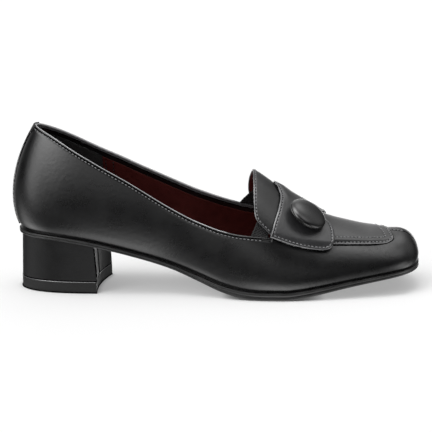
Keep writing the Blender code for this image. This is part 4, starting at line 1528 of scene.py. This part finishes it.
@dataclass
class Saddle:
    """Apron, tongue and strap, sized as in the solids."""

    overlay_gap: float = 0.0004
    apron_thickness: float = 0.0014
    strap_thickness: float = 0.0020
    strap_drop: float = 0.06
    strap_rise: float = 0.07
    strap_foot: float = 0.45
    crease_in: float = 0.0048
    crease_depth: float = 0.00022
    crease_width: float = 0.0006
    crease_start: float = 0.70
    crease_fade: float = 0.02
    tongue_lining: float = 0.00030
    lining_gap: float = 0.00006
    lining_inset: tuple[float, float] = (0.0032, 0.012)
    lining_front: float = 0.70
    front_sink: float = 0.00025
    sink_start: float = 0.88
    sink_reach: float = 0.04
    shade_start: float = 0.765
    shade_out: float = 0.00025
    shade_drop: float = 0.0001

    def apron_lift(self, s: Array, w: Array) -> Array:
        """Height of the apron's inner face over the last; it sinks a little at the pared front."""
        return self.overlay_gap - self.front_sink * ramp(s, self.sink_start, self.sink_reach)

    def strap_lift(self, s: Array, w: Array) -> Array:
        """Height of the strap's inner face: over the apron, and a little lower past its edge.

        Args:
            s: stations.
            w: rib shares.

        Returns:
            Heights over the last, in metres.
        """
        edge = steady(APRON_EDGE, "w", s)
        over = smooth((w - edge + self.strap_drop) / self.strap_rise)
        over = self.strap_foot + (1.0 - self.strap_foot) * over
        return self.overlay_gap + (self.overlay_gap + self.apron_thickness) * over

    def apron_shadow_path(self, apron: SaddlePiece) -> tuple[Array, Array]:
        """Path of the painted shadow under the apron's edge, ahead of the strap.

        Args:
            apron: the apron's sheet.

        Returns:
            Points and normals.
        """
        border, normal = resample(border_of(apron.middle), BORDER_STEP, border_of(apron.normal))
        outward = unit(np.cross(np.gradient(border, axis=0), normal))
        centre = apron.middle[len(apron.middle) // 2, apron.middle.shape[1] // 2]
        if np.dot(outward[0], border[0] - centre) < 0.0:
            outward = -outward
        foot = border + self.shade_out * outward
        foot -= normal * (0.5 * self.apron_thickness * (1.0 - apron.side_skive[0]) + self.shade_drop)
        return shown_run(foot, normal, LAST.station_of(border[:, 0]) > self.shade_start)

    def build(self) -> None:
        """Apron with its stitched crease, strap, the thread of both, and the tongue's lining."""
        apron = SaddlePiece("apron_tongue_calf", APRON_EDGE, APRON_ENDS, self.apron_thickness,
                            self.apron_lift, steps=(110, 80), lengths=(0.080, 0.085),
                            skive=(0.5, 0.88, 0.92), side_skive=(0.65, 0.14, 0.76),
                            stitch_in=0.0013, edge_light_reach=0.0007)
        shown = ramp(apron.stations, self.crease_start, self.crease_fade)
        apron.crease = self.crease_depth * bell(apron.distance - self.crease_in, self.crease_width) * shown
        apron.build("apron_tongue")
        # Painted shadow: a dark line under the apron's front edge.
        score("apron_edge_shadow", [self.apron_shadow_path(apron)])
        # The strap takes the grey finish whose lightness is a painted sheen.
        strap = SaddlePiece("saddle_strap_calf", STRAP_EDGE, STRAP_ENDS, self.strap_thickness,
                            self.strap_lift, steps=(44, 150), lengths=(0.034, 0.115),
                            end_skive=(0.4, 0.8), finish=CALF_STRAP_SHEEN)
        strap.build("saddle_strap")
        paths = [piece.inset(piece.stitch_in) for piece in (apron, strap)]
        path, normal = apron.inset(self.crease_in)
        paths.append(shown_run(path, normal, LAST.station_of(path[:, 0]) > self.crease_start))
        stitch("saddle_thread", paths)
        edge = {"s": APRON_EDGE["s"], "w": APRON_EDGE["w"] + self.lining_inset[1]}
        ends = {"b": APRON_ENDS["b"], "rear": APRON_ENDS["rear"] + self.lining_inset[0],
                "front": np.full(len(APRON_ENDS["b"]), self.lining_front)}
        lining = SaddlePiece("tongue_lining", edge, ends, self.tongue_lining,
                             lambda s, w: np.full(s.shape, self.lining_gap),
                             steps=(40, 60), lengths=(0.025, 0.085))
        dress(two_skins(lining.name, lining.middle, lining.normal, rounded(lining.distance, lining.half),
                        np.zeros_like(lining.distance)), LINING, "lining")


@dataclass
class Button:
    """Large covered button: a shallow dome of calf over a metal shell, on a short shank."""

    radius: float = 0.0120
    dome: float = 0.0034
    rim: float = 0.0014
    rim_slope: float = 0.6
    shank_radius: float = 0.0030
    shank_height: float = 0.0016
    tilt: float = math.radians(10.0)
    lean: float = math.radians(12.0)
    station: float = 0.7105
    rib_share: float = 0.685
    steps: int = 120
    dome_steps: int = 40
    powers: tuple[float, float] = (0.92, 0.95)
    fold_in: float = 0.0003
    fold_drops: tuple[float, float] = (0.00015, 0.0004)
    rim_round: tuple[float, float] = (0.4, 0.3)

    def profile(self) -> Array:
        """Radius and height from the crown to the shank's foot.

        The dome is a quarter of an ellipse whose power is above 2, so that its shoulder is full.
        A fold line runs between the dome and the rim.

        Returns:
            Array (n, 2).
        """
        top = self.shank_height + self.rim
        angle = 0.5 * math.pi * np.linspace(0.0, 1.0, self.dome_steps)
        dome = np.stack((self.radius * np.sin(angle) ** self.powers[0],
                         top + self.dome * np.cos(angle) ** self.powers[1]), 1)
        slope = self.rim_slope * self.rim
        low = self.shank_height
        first, second = self.fold_drops
        inward, upward = self.rim_round
        rest = np.array(((self.radius - self.fold_in, top - first), (self.radius, top - second),
                         (self.radius, low + slope),
                         (self.radius - inward * slope, low + upward * slope),
                         (self.radius - slope, low), (self.shank_radius, low), (self.shank_radius, 0.0),
                         (0.0, 0.0)))
        return np.concatenate((dome, rest))

    def build(self, saddle: Saddle) -> None:
        """Turn the profile round its axis and seat it on the strap.

        Args:
            saddle: the saddle, whose strap it sits on.
        """
        radius, height = self.profile().T
        turn = turns(self.steps)[:, None]
        grid = np.stack(np.broadcast_arrays(radius * np.cos(turn), radius * np.sin(turn), height), -1)
        s, w = np.array([self.station]), np.array([self.rib_share])
        u = LAST.ring_at(s, w, False)
        lift = saddle.strap_lift(s, w) + saddle.strap_thickness + LAST.clearance
        seat = LAST.points(u, w, lift + self.shank_radius * math.sin(math.hypot(self.tilt, self.lean)))[0]
        axis = Matrix.Rotation(self.tilt, 3, "Y") @ Vector(LAST.normals(u, w)[0])
        axis = Matrix.Rotation(-self.lean, 3, "X") @ axis
        turned = np.array(axis.to_track_quat("Z", "Y").to_matrix())
        points = grid @ turned.T + seat
        piece = make_piece("covered_button", points, quads(*grid.shape[:2], closed=True))
        dress(piece, CALF_TIGHT, "leather", "button")


# Gores and back strip


@dataclass
class Gore:
    """Elastic between the topline and the tongue, with a folded free edge."""

    side: Side
    foot: tuple[float, float]
    top_s: tuple[float, float]
    top_w: tuple[float, float]
    thickness: float = 0.0009
    sink: float = 0.0002
    gap: float = -0.0011
    steps: tuple[int, int] = (36, 30)
    lengths: tuple[float, float] = (0.012, 0.014)
    border_rows: int = 7
    border_step: float = 0.0002
    fold: float = 0.00025
    fold_place: float = 0.0009
    fold_width: float = 0.0006
    fold_start: float = 0.0005

    def build(self) -> None:
        """A sheet between its foot, held in the wall below the topline, and its top, under the tongue."""
        along, up = sheet_shares(self.steps, self.lengths, self.border_rows)
        foot_u = LAST.ring_of_station(self.foot[0] + along * (self.foot[1] - self.foot[0]))
        medial = self.side is Side.MEDIAL
        if medial:
            foot_u = 1.0 - foot_u
        length = np.linalg.norm(LAST.points(foot_u, np.ones_like(foot_u)) - LAST.outline(foot_u), axis=1)
        foot_w = LAST.upper_edge(foot_u) + self.gap / length
        top_s, top_w = (ends[0] + along * (ends[1] - ends[0]) for ends in (self.top_s, self.top_w))
        top_u = LAST.ring_at(top_s, top_w, medial)
        u = foot_u[:, None] + (top_u - foot_u)[:, None] * up[None, :]
        w = foot_w[:, None] + (top_w - foot_w)[:, None] * up[None, :]
        half = 0.5 * self.thickness
        middle, normal = LAST.layer(u, w, -(self.sink + half))
        distance = border_distance(middle, self.border_step)
        from_edge = np.linalg.norm(middle - middle[:1], axis=-1)
        relief = self.fold * bell(from_edge - self.fold_place, self.fold_width)
        relief *= smooth(distance / self.fold_start)
        spread = np.stack(np.meshgrid(along * self.lengths[0], up * self.lengths[1], indexing="ij"), -1)
        piece = two_skins("gore_" + self.side.value + "_elastic", middle, normal,
                          rounded(distance, half), relief, uv=spread)
        dress(piece, ELASTIC, "elastic", "gore_" + self.side.value)


BACK_STRIP = table("drop half", (0.00, 0.020), (0.05, 0.017), (0.13, 0.008), (0.30, 0.006),
                   (1.00, 0.0035))


@dataclass
class BackStrip:
    """Calf strip over the back seam, widening into a tab at the top."""

    thickness: float = 0.0009
    foot: float = 0.012
    clearance: float = 0.00005
    steps: tuple[int, int] = (90, 18)
    lengths: tuple[float, float] = (0.06, 0.008)
    border_rows: int = 6
    border_step: float = 0.0002

    def build(self) -> None:
        """A sheet down the back, edges rounded."""
        drop, across = sheet_shares(self.steps, self.lengths, self.border_rows)
        half_width = steady(BACK_STRIP, "half", drop)
        u = half_width[:, None] * (2.0 * across - 1.0)[None, :]
        top = LAST.upper_edge(u.ravel()).reshape(u.shape)
        w = top + (self.foot - top) * drop[:, None]
        half = 0.5 * self.thickness
        middle, normal = LAST.layer(u, w, self.clearance + half)
        distance = border_distance(middle, self.border_step)
        piece = two_skins("back_strip_calf", middle, normal, rounded(distance, half), np.zeros_like(w))
        dress(piece, CALF, "leather", "back_strip")


# Sole, insole and heel


@dataclass
class Plate:
    """A plate that follows the last's bottom, with a shaped edge and faces that bend both ways."""

    name: str
    lips: Array
    drops: Array
    lip: float
    lift: float
    depth: Callable[[Array], Array]
    toe_fade: float = 0.0
    toe_place: float = 0.93
    toe_reach: float = 0.06
    bands: tuple[float, ...] = (0.0, 0.06, 0.44, 0.5)
    counts: tuple[int, ...] = (40, 150, 60)
    across: int = 16

    def high(self, x: Array, y: Array) -> Array:
        """Height of the upper face at places in plan."""
        return LAST.feather_height(LAST.station_of(x), LAST.side_of(y)) + self.lift

    def low(self, x: Array, y: Array) -> Array:
        """Height of the lower face at places in plan."""
        return self.high(x, y) - self.depth(LAST.station_of(x))

    def face(self, ring: Array, height: Callable[[Array, Array], Array]) -> Array:
        """Grid between the two sides of a ring.

        Args:
            ring: points (n, 3) round the plate.
            height: the inner points' height as a function of x and y.

        Returns:
            Array (rows, columns, 3).
        """
        half = len(ring) // 2
        left = ring[:half + 1]
        right = np.concatenate((ring[:1], ring[:half - 1:-1]))
        t = np.linspace(0.0, 1.0, self.across)
        grid = left[:, None] + (right - left)[:, None] * t[None, :, None]
        inner = height(grid[..., 0], grid[..., 1])
        grid[:, 1:-1, 2] = inner[:, 1:-1]
        return grid

    def build(self) -> bpy.types.Object:
        """The edge band, and the upper and lower faces.

        Returns:
            One closed object.
        """
        u = both_sides(spaced(self.bands, self.counts))
        plain = LAST.outline(u)
        s, out = LAST.station_of(plain[:, 0]), LAST.outward(u)
        lip = self.lip * (1.0 - self.toe_fade * ramp(s, self.toe_place, self.toe_reach))
        band = np.repeat(plain[:, None], len(self.lips), 1)
        band[..., :2] += lip[:, None, None] * self.lips[None, :, None] * out[:, None]
        band[..., 2] += self.lift - self.drops[None, :] * self.depth(s)[:, None]
        top, bottom = self.face(band[:, 0], self.high), self.face(band[:, -1], self.low)
        faces = [quads(len(u), len(self.lips), closed=True)]
        base = band.shape[0] * band.shape[1]
        for grid in (top, bottom):
            faces.append(quads(*grid.shape[:2]) + base)
            base += grid.shape[0] * grid.shape[1]
        points = np.concatenate([grid.reshape(-1, 3) for grid in (band, top, bottom)])
        return make_piece(self.name, points, np.concatenate(faces), smooth_angle=35.0)


@dataclass
class Bottom:
    """Outsole with its two-step edge, and the sock over the insole."""

    lip: float = 0.0010
    insole_thickness: float = 0.0020
    wall: float = 0.0018
    insole_gap: float = 0.0006

    def build(self) -> None:
        """Both plates."""
        edge = table("lip drop", (0.60, 0.00), (0.88, 0.03), (1.00, 0.10), (1.02, 0.24), (0.98, 0.38),
                     (0.86, 0.43), (0.50, 0.45), (0.42, 0.49), (0.50, 0.53), (0.78, 0.56), (0.88, 0.64),
                     (0.88, 0.80), (0.80, 0.92), (0.60, 0.98), (0.30, 1.00))
        # The outsole's dark grey is a painted sheen.
        sole = Plate("outsole_rubber", edge["lip"], edge["drop"], self.lip, -LAST.clearance,
                     LAST.sole_depth, toe_fade=1.2)
        dress(sole.build(), SOLE_SHEEN, "sole", "outsole")
        soft = table("lip drop", (1.9, 0.00), (1.35, 0.03), (1.1, 0.12), (1.0, 0.3), (1.0, 1.0))
        sock = Plate("insole_sock", soft["lip"], soft["drop"], -(self.wall + self.insole_gap),
                     LAST.clearance + self.insole_thickness,
                     lambda s: np.full(np.shape(s), self.insole_thickness))
        dress(sock.build(), LINING, "lining", "insole")


@dataclass
class Heel:
    """Block heel covered in calf, seamed down its hollow breast, on a rubber top piece."""

    inset: float = 0.0008
    foot_width: float = 0.905
    flare: float = 0.0012
    station: float = 0.2025
    skew: float = 0.0040
    hollow: float = 0.0026
    facet: float = 0.0004
    tip: float = 0.0072
    bevel: float = 0.0006
    lip: float = 0.0002
    lap: float = 0.00035
    lap_place: float = 0.42
    lap_width: float = 0.012
    edge_inset: float = 0.0003
    edge_shares: tuple[float, float] = (0.006, 0.994)
    end_shares: tuple[float, ...] = (0.0, 0.5, 0.9)
    line_out: float = 0.00025
    shade_out: float = 0.0004
    shade_rise: float = 0.0002
    back_end: float = 0.06
    ribs: tuple[int, int] = (40, 40)
    breast_steps: int = 61
    rows: int = 26

    def plan(self, inset: float, lap: float = 0.0) -> Array:
        """Plan of the heel from the back centre along the lateral side and round the breast.

        Args:
            inset: how far it stays inside the feather line.
            lap: the step in the breast where the outer side of the cover laps over the inner.

        Returns:
            Points (n, 2).
        """
        half = spaced((0.0, self.back_end, float(LAST.ring_of_station(self.station))), self.ribs)
        lateral = LAST.outline(half, -inset)[:, :2]
        medial = LAST.outline(1.0 - half[1:], -inset)[:, :2]
        run = (medial[:, 0] - medial[0, 0]) / (medial[-1, 0] - medial[0, 0])
        medial[:, 0] += self.skew * smooth(run)
        span = medial[-1] - lateral[-1]
        share = self.facet / np.linalg.norm(span)
        t = np.linspace(0.0, 1.0, self.breast_steps)
        breast = lateral[-1] + span * (share + (1.0 - 2.0 * share) * t[:, None])
        breast[:, 0] -= self.hollow * (1.0 - (2.0 * t - 1.0) ** 2)
        breast[:, 0] += lap * (1.0 - ramp(t, self.lap_place, self.lap_width))
        lateral[-1, 0] -= self.facet
        medial[-1, 0] -= self.facet
        return np.concatenate((lateral, breast, medial[::-1]))

    def foot_of(self, plan: Array) -> Array:
        """The plan at the foot: narrower, and a little longer at both ends.

        Args:
            plan: the plan at the top (n, 2).

        Returns:
            Points (n, 2).
        """
        back, front = plan[:, 0].min(), plan[:, 0].max()
        share = (2.0 * plan[:, 0] - back - front) / (front - back)
        return np.column_stack((plan[:, 0] + self.flare * share, plan[:, 1] * self.foot_width))

    def loft(self, name: str, levels: Array) -> bpy.types.Object:
        """Closed loft, its ends drawn together to their middles.

        Args:
            name: the piece's name.
            levels: plans (levels, n, 3) from one end to the other.

        Returns:
            One closed object.
        """
        ends = []
        for ring in (levels[0], levels[-1]):
            middle = ring.mean(axis=0)
            ends.append(np.stack([middle + (ring - middle) * share for share in self.end_shares]))
        grid = np.concatenate((ends[0], levels, ends[1][::-1]))
        faces = quads(grid.shape[1], grid.shape[0], closed=True)
        return make_piece(name, grid.transpose(1, 0, 2), faces, smooth_angle=35.0)

    def lines(self, levels: Array) -> None:
        """Lines of painted shade: round the joint with the top piece, down the outer corner and down the
        lap.

        Args:
            levels: the cover's plans (levels, n, 3) from the sole to the top piece.
        """
        corner = (levels.shape[1] - self.breast_steps + 1) // 2
        lap = corner + round(self.lap_place * (self.breast_steps - 1))
        joint = levels[-2, :lap + self.breast_steps]
        outward = unit(joint - levels[-2].mean(axis=0))
        forward = np.broadcast_to(np.array((1.0, 0.0, 0.0)), levels[2:-1, lap].shape)
        slant = unit(forward + np.array((0.0, -1.0, 0.0)))
        score("heel_groove_shade", [(joint, outward), (levels[2:-1, corner] + self.line_out * slant, slant),
                             (levels[2:-1, lap] + self.line_out * forward, forward)], "heel_cover")

    def build(self) -> None:
        """The covered block and its top piece."""
        top = self.plan(self.inset, self.lap)
        foot = self.foot_of(top)
        s = LAST.station_of(top[:, 0])
        high = LAST.sole_height(s, LAST.side_of(top[:, 1])) - LAST.clearance
        low = self.tip + LAST.clearance
        first, last = self.edge_shares
        t = np.concatenate(([0.0, first], np.linspace(0.0, 1.0, self.rows)[1:-1], [last, 1.0]))[:, None]
        middle = top.mean(axis=0)
        levels = np.empty((len(t), len(top), 3))
        levels[..., :2] = top[None] + (foot - top)[None] * t[..., None]
        levels[..., 2] = high[None] + (low - high)[None] * t
        for k in (0, -1):
            levels[k, :, :2] += self.edge_inset * unit(middle - levels[k, :, :2])
        dress(self.loft("heel_cover_calf", levels), HEEL_CALF, "heel_cover", "heel")
        self.lines(levels)
        rings = []
        for inset, height in ((self.edge_inset, self.tip), (0.0, self.tip - self.edge_inset),
                              (0.0, 0.5 * self.tip), (0.0, self.bevel),
                              (0.3 * self.bevel, 0.3 * self.bevel), (self.bevel, 0.0)):
            plan = self.foot_of(self.plan(self.inset - self.lip + inset))
            rings.append(np.column_stack((plan, np.full(len(plan), height))))
        # Painted contact shadow: a dark ring that lies on the floor just outside the top piece's foot.
        ground = np.concatenate((rings[3], rings[3][:1]))
        away = unit((ground - ground.mean(axis=0)) * np.array((1.0, 1.0, 0.0)))
        ground = ground + self.shade_out * away
        ground[:, 2] = self.shade_rise
        score("heel_tip_contact_shadow", [(ground, away)], "rubber")
        piece = dress(self.loft("heel_top_piece", np.stack(rings)), TOP_PIECE, "rubber", "heel_tip")
        # Painted highlight round the top piece's upper edge.
        rim, = resample(np.concatenate((rings[1], rings[1][:1])), BORDER_STEP)
        paint_border_light(piece, rim, self.bevel)


# Studio


@dataclass(frozen=True)
class Studio:
    """Pale floor, soft light from above and both sides, and the camera.

    Each lobe of light has an elevation, an azimuth (0 towards the camera, 90 towards the toe), a
    half width, all in degrees, and a peak. Those below the horizon show in the leather alone, as
    light thrown back by the table.
    """

    target: tuple[float, float, float] = (0.093, 0.0, 0.0435)
    distance: float = 0.85
    elevation: float = math.radians(13.0)
    azimuth: float = math.radians(3.0)
    roll: float = math.radians(-0.8)
    sensor: float = 36.0
    pixels: float = 432.0
    pixels_per_mm: float = 1.6
    view_end: float = 50.0
    floor_half: float = 8.0
    floor_colour: str = "#cbcbcb"
    floor_roughness: float = 0.9
    floor_specular: float = 0.1
    sky: float = 0.02
    lobes: tuple[tuple[float, float, float, float], ...] = (
        (88.0, 0.0, 13.0, 5.8),
        (62.0, 288.0, 18.0, 3.8),
        (35.0, 315.0, 18.0, 3.7),
        (62.0, 216.0, 18.0, 0.7),
        (56.0, 66.0, 16.0, 1.3),
        (58.0, 142.0, 12.0, 1.9),
        (35.0, 180.0, 18.0, 1.1),
        (35.0, 110.0, 24.0, 0.45),
        (8.0, 300.0, 13.0, 1.9),
        (22.0, 0.0, 12.0, 0.7),
        (10.0, 210.0, 24.0, 0.35),
        (-12.0, 60.0, 16.0, 1.7),
        (-12.0, 180.0, 16.0, 2.6),
        (-42.0, 0.0, 20.0, 1.9),
        (-38.0, 90.0, 20.0, 2.0),
        (-38.0, 180.0, 20.0, 2.0),
        (-38.0, 270.0, 20.0, 2.2),
        (-75.0, 0.0, 26.0, 1.6))
    # Painted fill light: the floor's glow, and how near the shoe it fades into a painted contact shadow.
    painted_glow: float = 0.33
    painted_contact_reach: float = 0.004
    painted_contact_samples: int = 4

    def heading(self, elevation: float, azimuth: float) -> tuple[float, float, float]:
        """Unit vector from the shoe towards an elevation and an azimuth, in radians."""
        flat = math.cos(elevation)
        return math.sin(azimuth) * flat, -math.cos(azimuth) * flat, math.sin(elevation)

    def camera(self) -> None:
        """Camera at the photograph's angle to the shoe."""
        a, r = self.azimuth, self.roll
        back = Vector(self.heading(self.elevation, a))
        right = Vector((math.cos(a), math.sin(a), 0.0))
        up = back.cross(right)
        right, up = math.cos(r) * right + math.sin(r) * up, math.cos(r) * up - math.sin(r) * right
        data = bpy.data.cameras.new("camera")
        data.sensor_width = self.sensor
        data.lens = self.sensor * self.pixels_per_mm * (self.distance / MM) / self.pixels
        data.clip_end = self.view_end
        camera = bpy.data.objects.new("camera", data)
        matrix = Matrix((right, up, back)).transposed().to_4x4()
        matrix.translation = Vector(self.target) + self.distance * back
        camera.matrix_world = matrix
        bpy.context.scene.collection.objects.link(camera)
        bpy.context.scene.camera = camera

    def floor(self) -> None:
        """Plain pale floor that glows: painted fill light that lightens the shadows on it, dimmed by
        ambient occlusion into a painted contact shadow where something stands on it.
        """
        h = self.floor_half
        points = np.array(((-h, -h, 0.0), (h, -h, 0.0), (h, h, 0.0), (-h, h, 0.0)))
        floor = make_piece("floor", points, np.array(((0, 1, 2, 3),)), closed=False)
        material = bpy.data.materials.new("pale_floor_painted_glow")
        material.use_nodes = True
        tree = material.node_tree
        shader = tree.nodes["Principled BSDF"]
        for socket, value in (("Base Color", linear(self.floor_colour)),
                              ("Roughness", self.floor_roughness),
                              ("Specular IOR Level", self.floor_specular),
                              ("Emission Color", (1.0, 1.0, 1.0, 1.0))):
            shader.inputs[socket].default_value = value
        # Painted contact shadow: the glow is scaled by ambient occlusion.
        shade = add_node(tree, "ShaderNodeAmbientOcclusion",
                         {"samples": self.painted_contact_samples, "Distance": self.painted_contact_reach})
        level = add_node(tree, "ShaderNodeMath", {"operation": "MULTIPLY", 1: self.painted_glow},
                         {0: shade.outputs["AO"]})
        tree.links.new(level.outputs["Value"], shader.inputs["Emission Strength"])
        floor.data.materials.append(material)
        floor.visible_glossy = False

    def world(self) -> None:
        """Light from all round: a sum of soft lobes, each one peak * exp((cos(angle to it) - 1) * k).

        k is one over one minus the cosine of the lobe's half width. The lobes are at infinity, so
        the floor is lit evenly.
        """
        world = bpy.data.worlds.new("studio")
        world.use_nodes = True
        tree = world.node_tree
        place = add_node(tree, "ShaderNodeTexCoord")
        total = add_node(tree, "ShaderNodeValue")
        total.outputs[0].default_value = self.sky
        for elevation, azimuth, width, peak in self.lobes:
            sharpness = 1.0 / (1.0 - math.cos(math.radians(width)))
            toward = self.heading(math.radians(elevation), math.radians(azimuth))
            along = add_node(tree, "ShaderNodeVectorMath", {"operation": "DOT_PRODUCT", 1: toward},
                             {0: place.outputs["Generated"]})
            fall = add_node(tree, "ShaderNodeMath",
                            {"operation": "MULTIPLY_ADD", 1: sharpness, 2: -sharpness},
                            {0: along.outputs["Value"]})
            lobe = add_node(tree, "ShaderNodeMath", {"operation": "EXPONENT"}, {0: fall.outputs["Value"]})
            total = add_node(tree, "ShaderNodeMath", {"operation": "MULTIPLY_ADD", 1: peak},
                             {0: lobe.outputs["Value"], 2: total.outputs[0]})
        tree.links.new(total.outputs[0], tree.nodes["Background"].inputs["Strength"])
        tree.nodes["Background"].inputs["Color"].default_value = (1.0, 1.0, 1.0, 1.0)
        bpy.context.scene.world = world

    def build(self) -> None:
        """Camera, floor and world."""
        self.camera()
        self.floor()
        self.world()
        bpy.context.scene.view_settings.view_transform = "Standard"


def main() -> None:
    """Build every piece around the frame, then the studio."""
    logging.basicConfig(level=logging.INFO, format="%(name)s: %(message)s")
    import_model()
    upper = Upper()
    upper.build()
    Inside().build(upper)
    saddle = Saddle()
    saddle.build()
    Button().build(saddle)
    Gore(Side.LATERAL, foot=(0.590, 0.637), top_s=(0.604, 0.627), top_w=(0.520, 0.500)).build()
    Gore(Side.MEDIAL, foot=(0.560, 0.637), top_s=(0.590, 0.625), top_w=(0.620, 0.520)).build()
    BackStrip().build()
    Bottom().build()
    Heel().build()
    Studio().build()


if __name__ == "__main__":
    main()
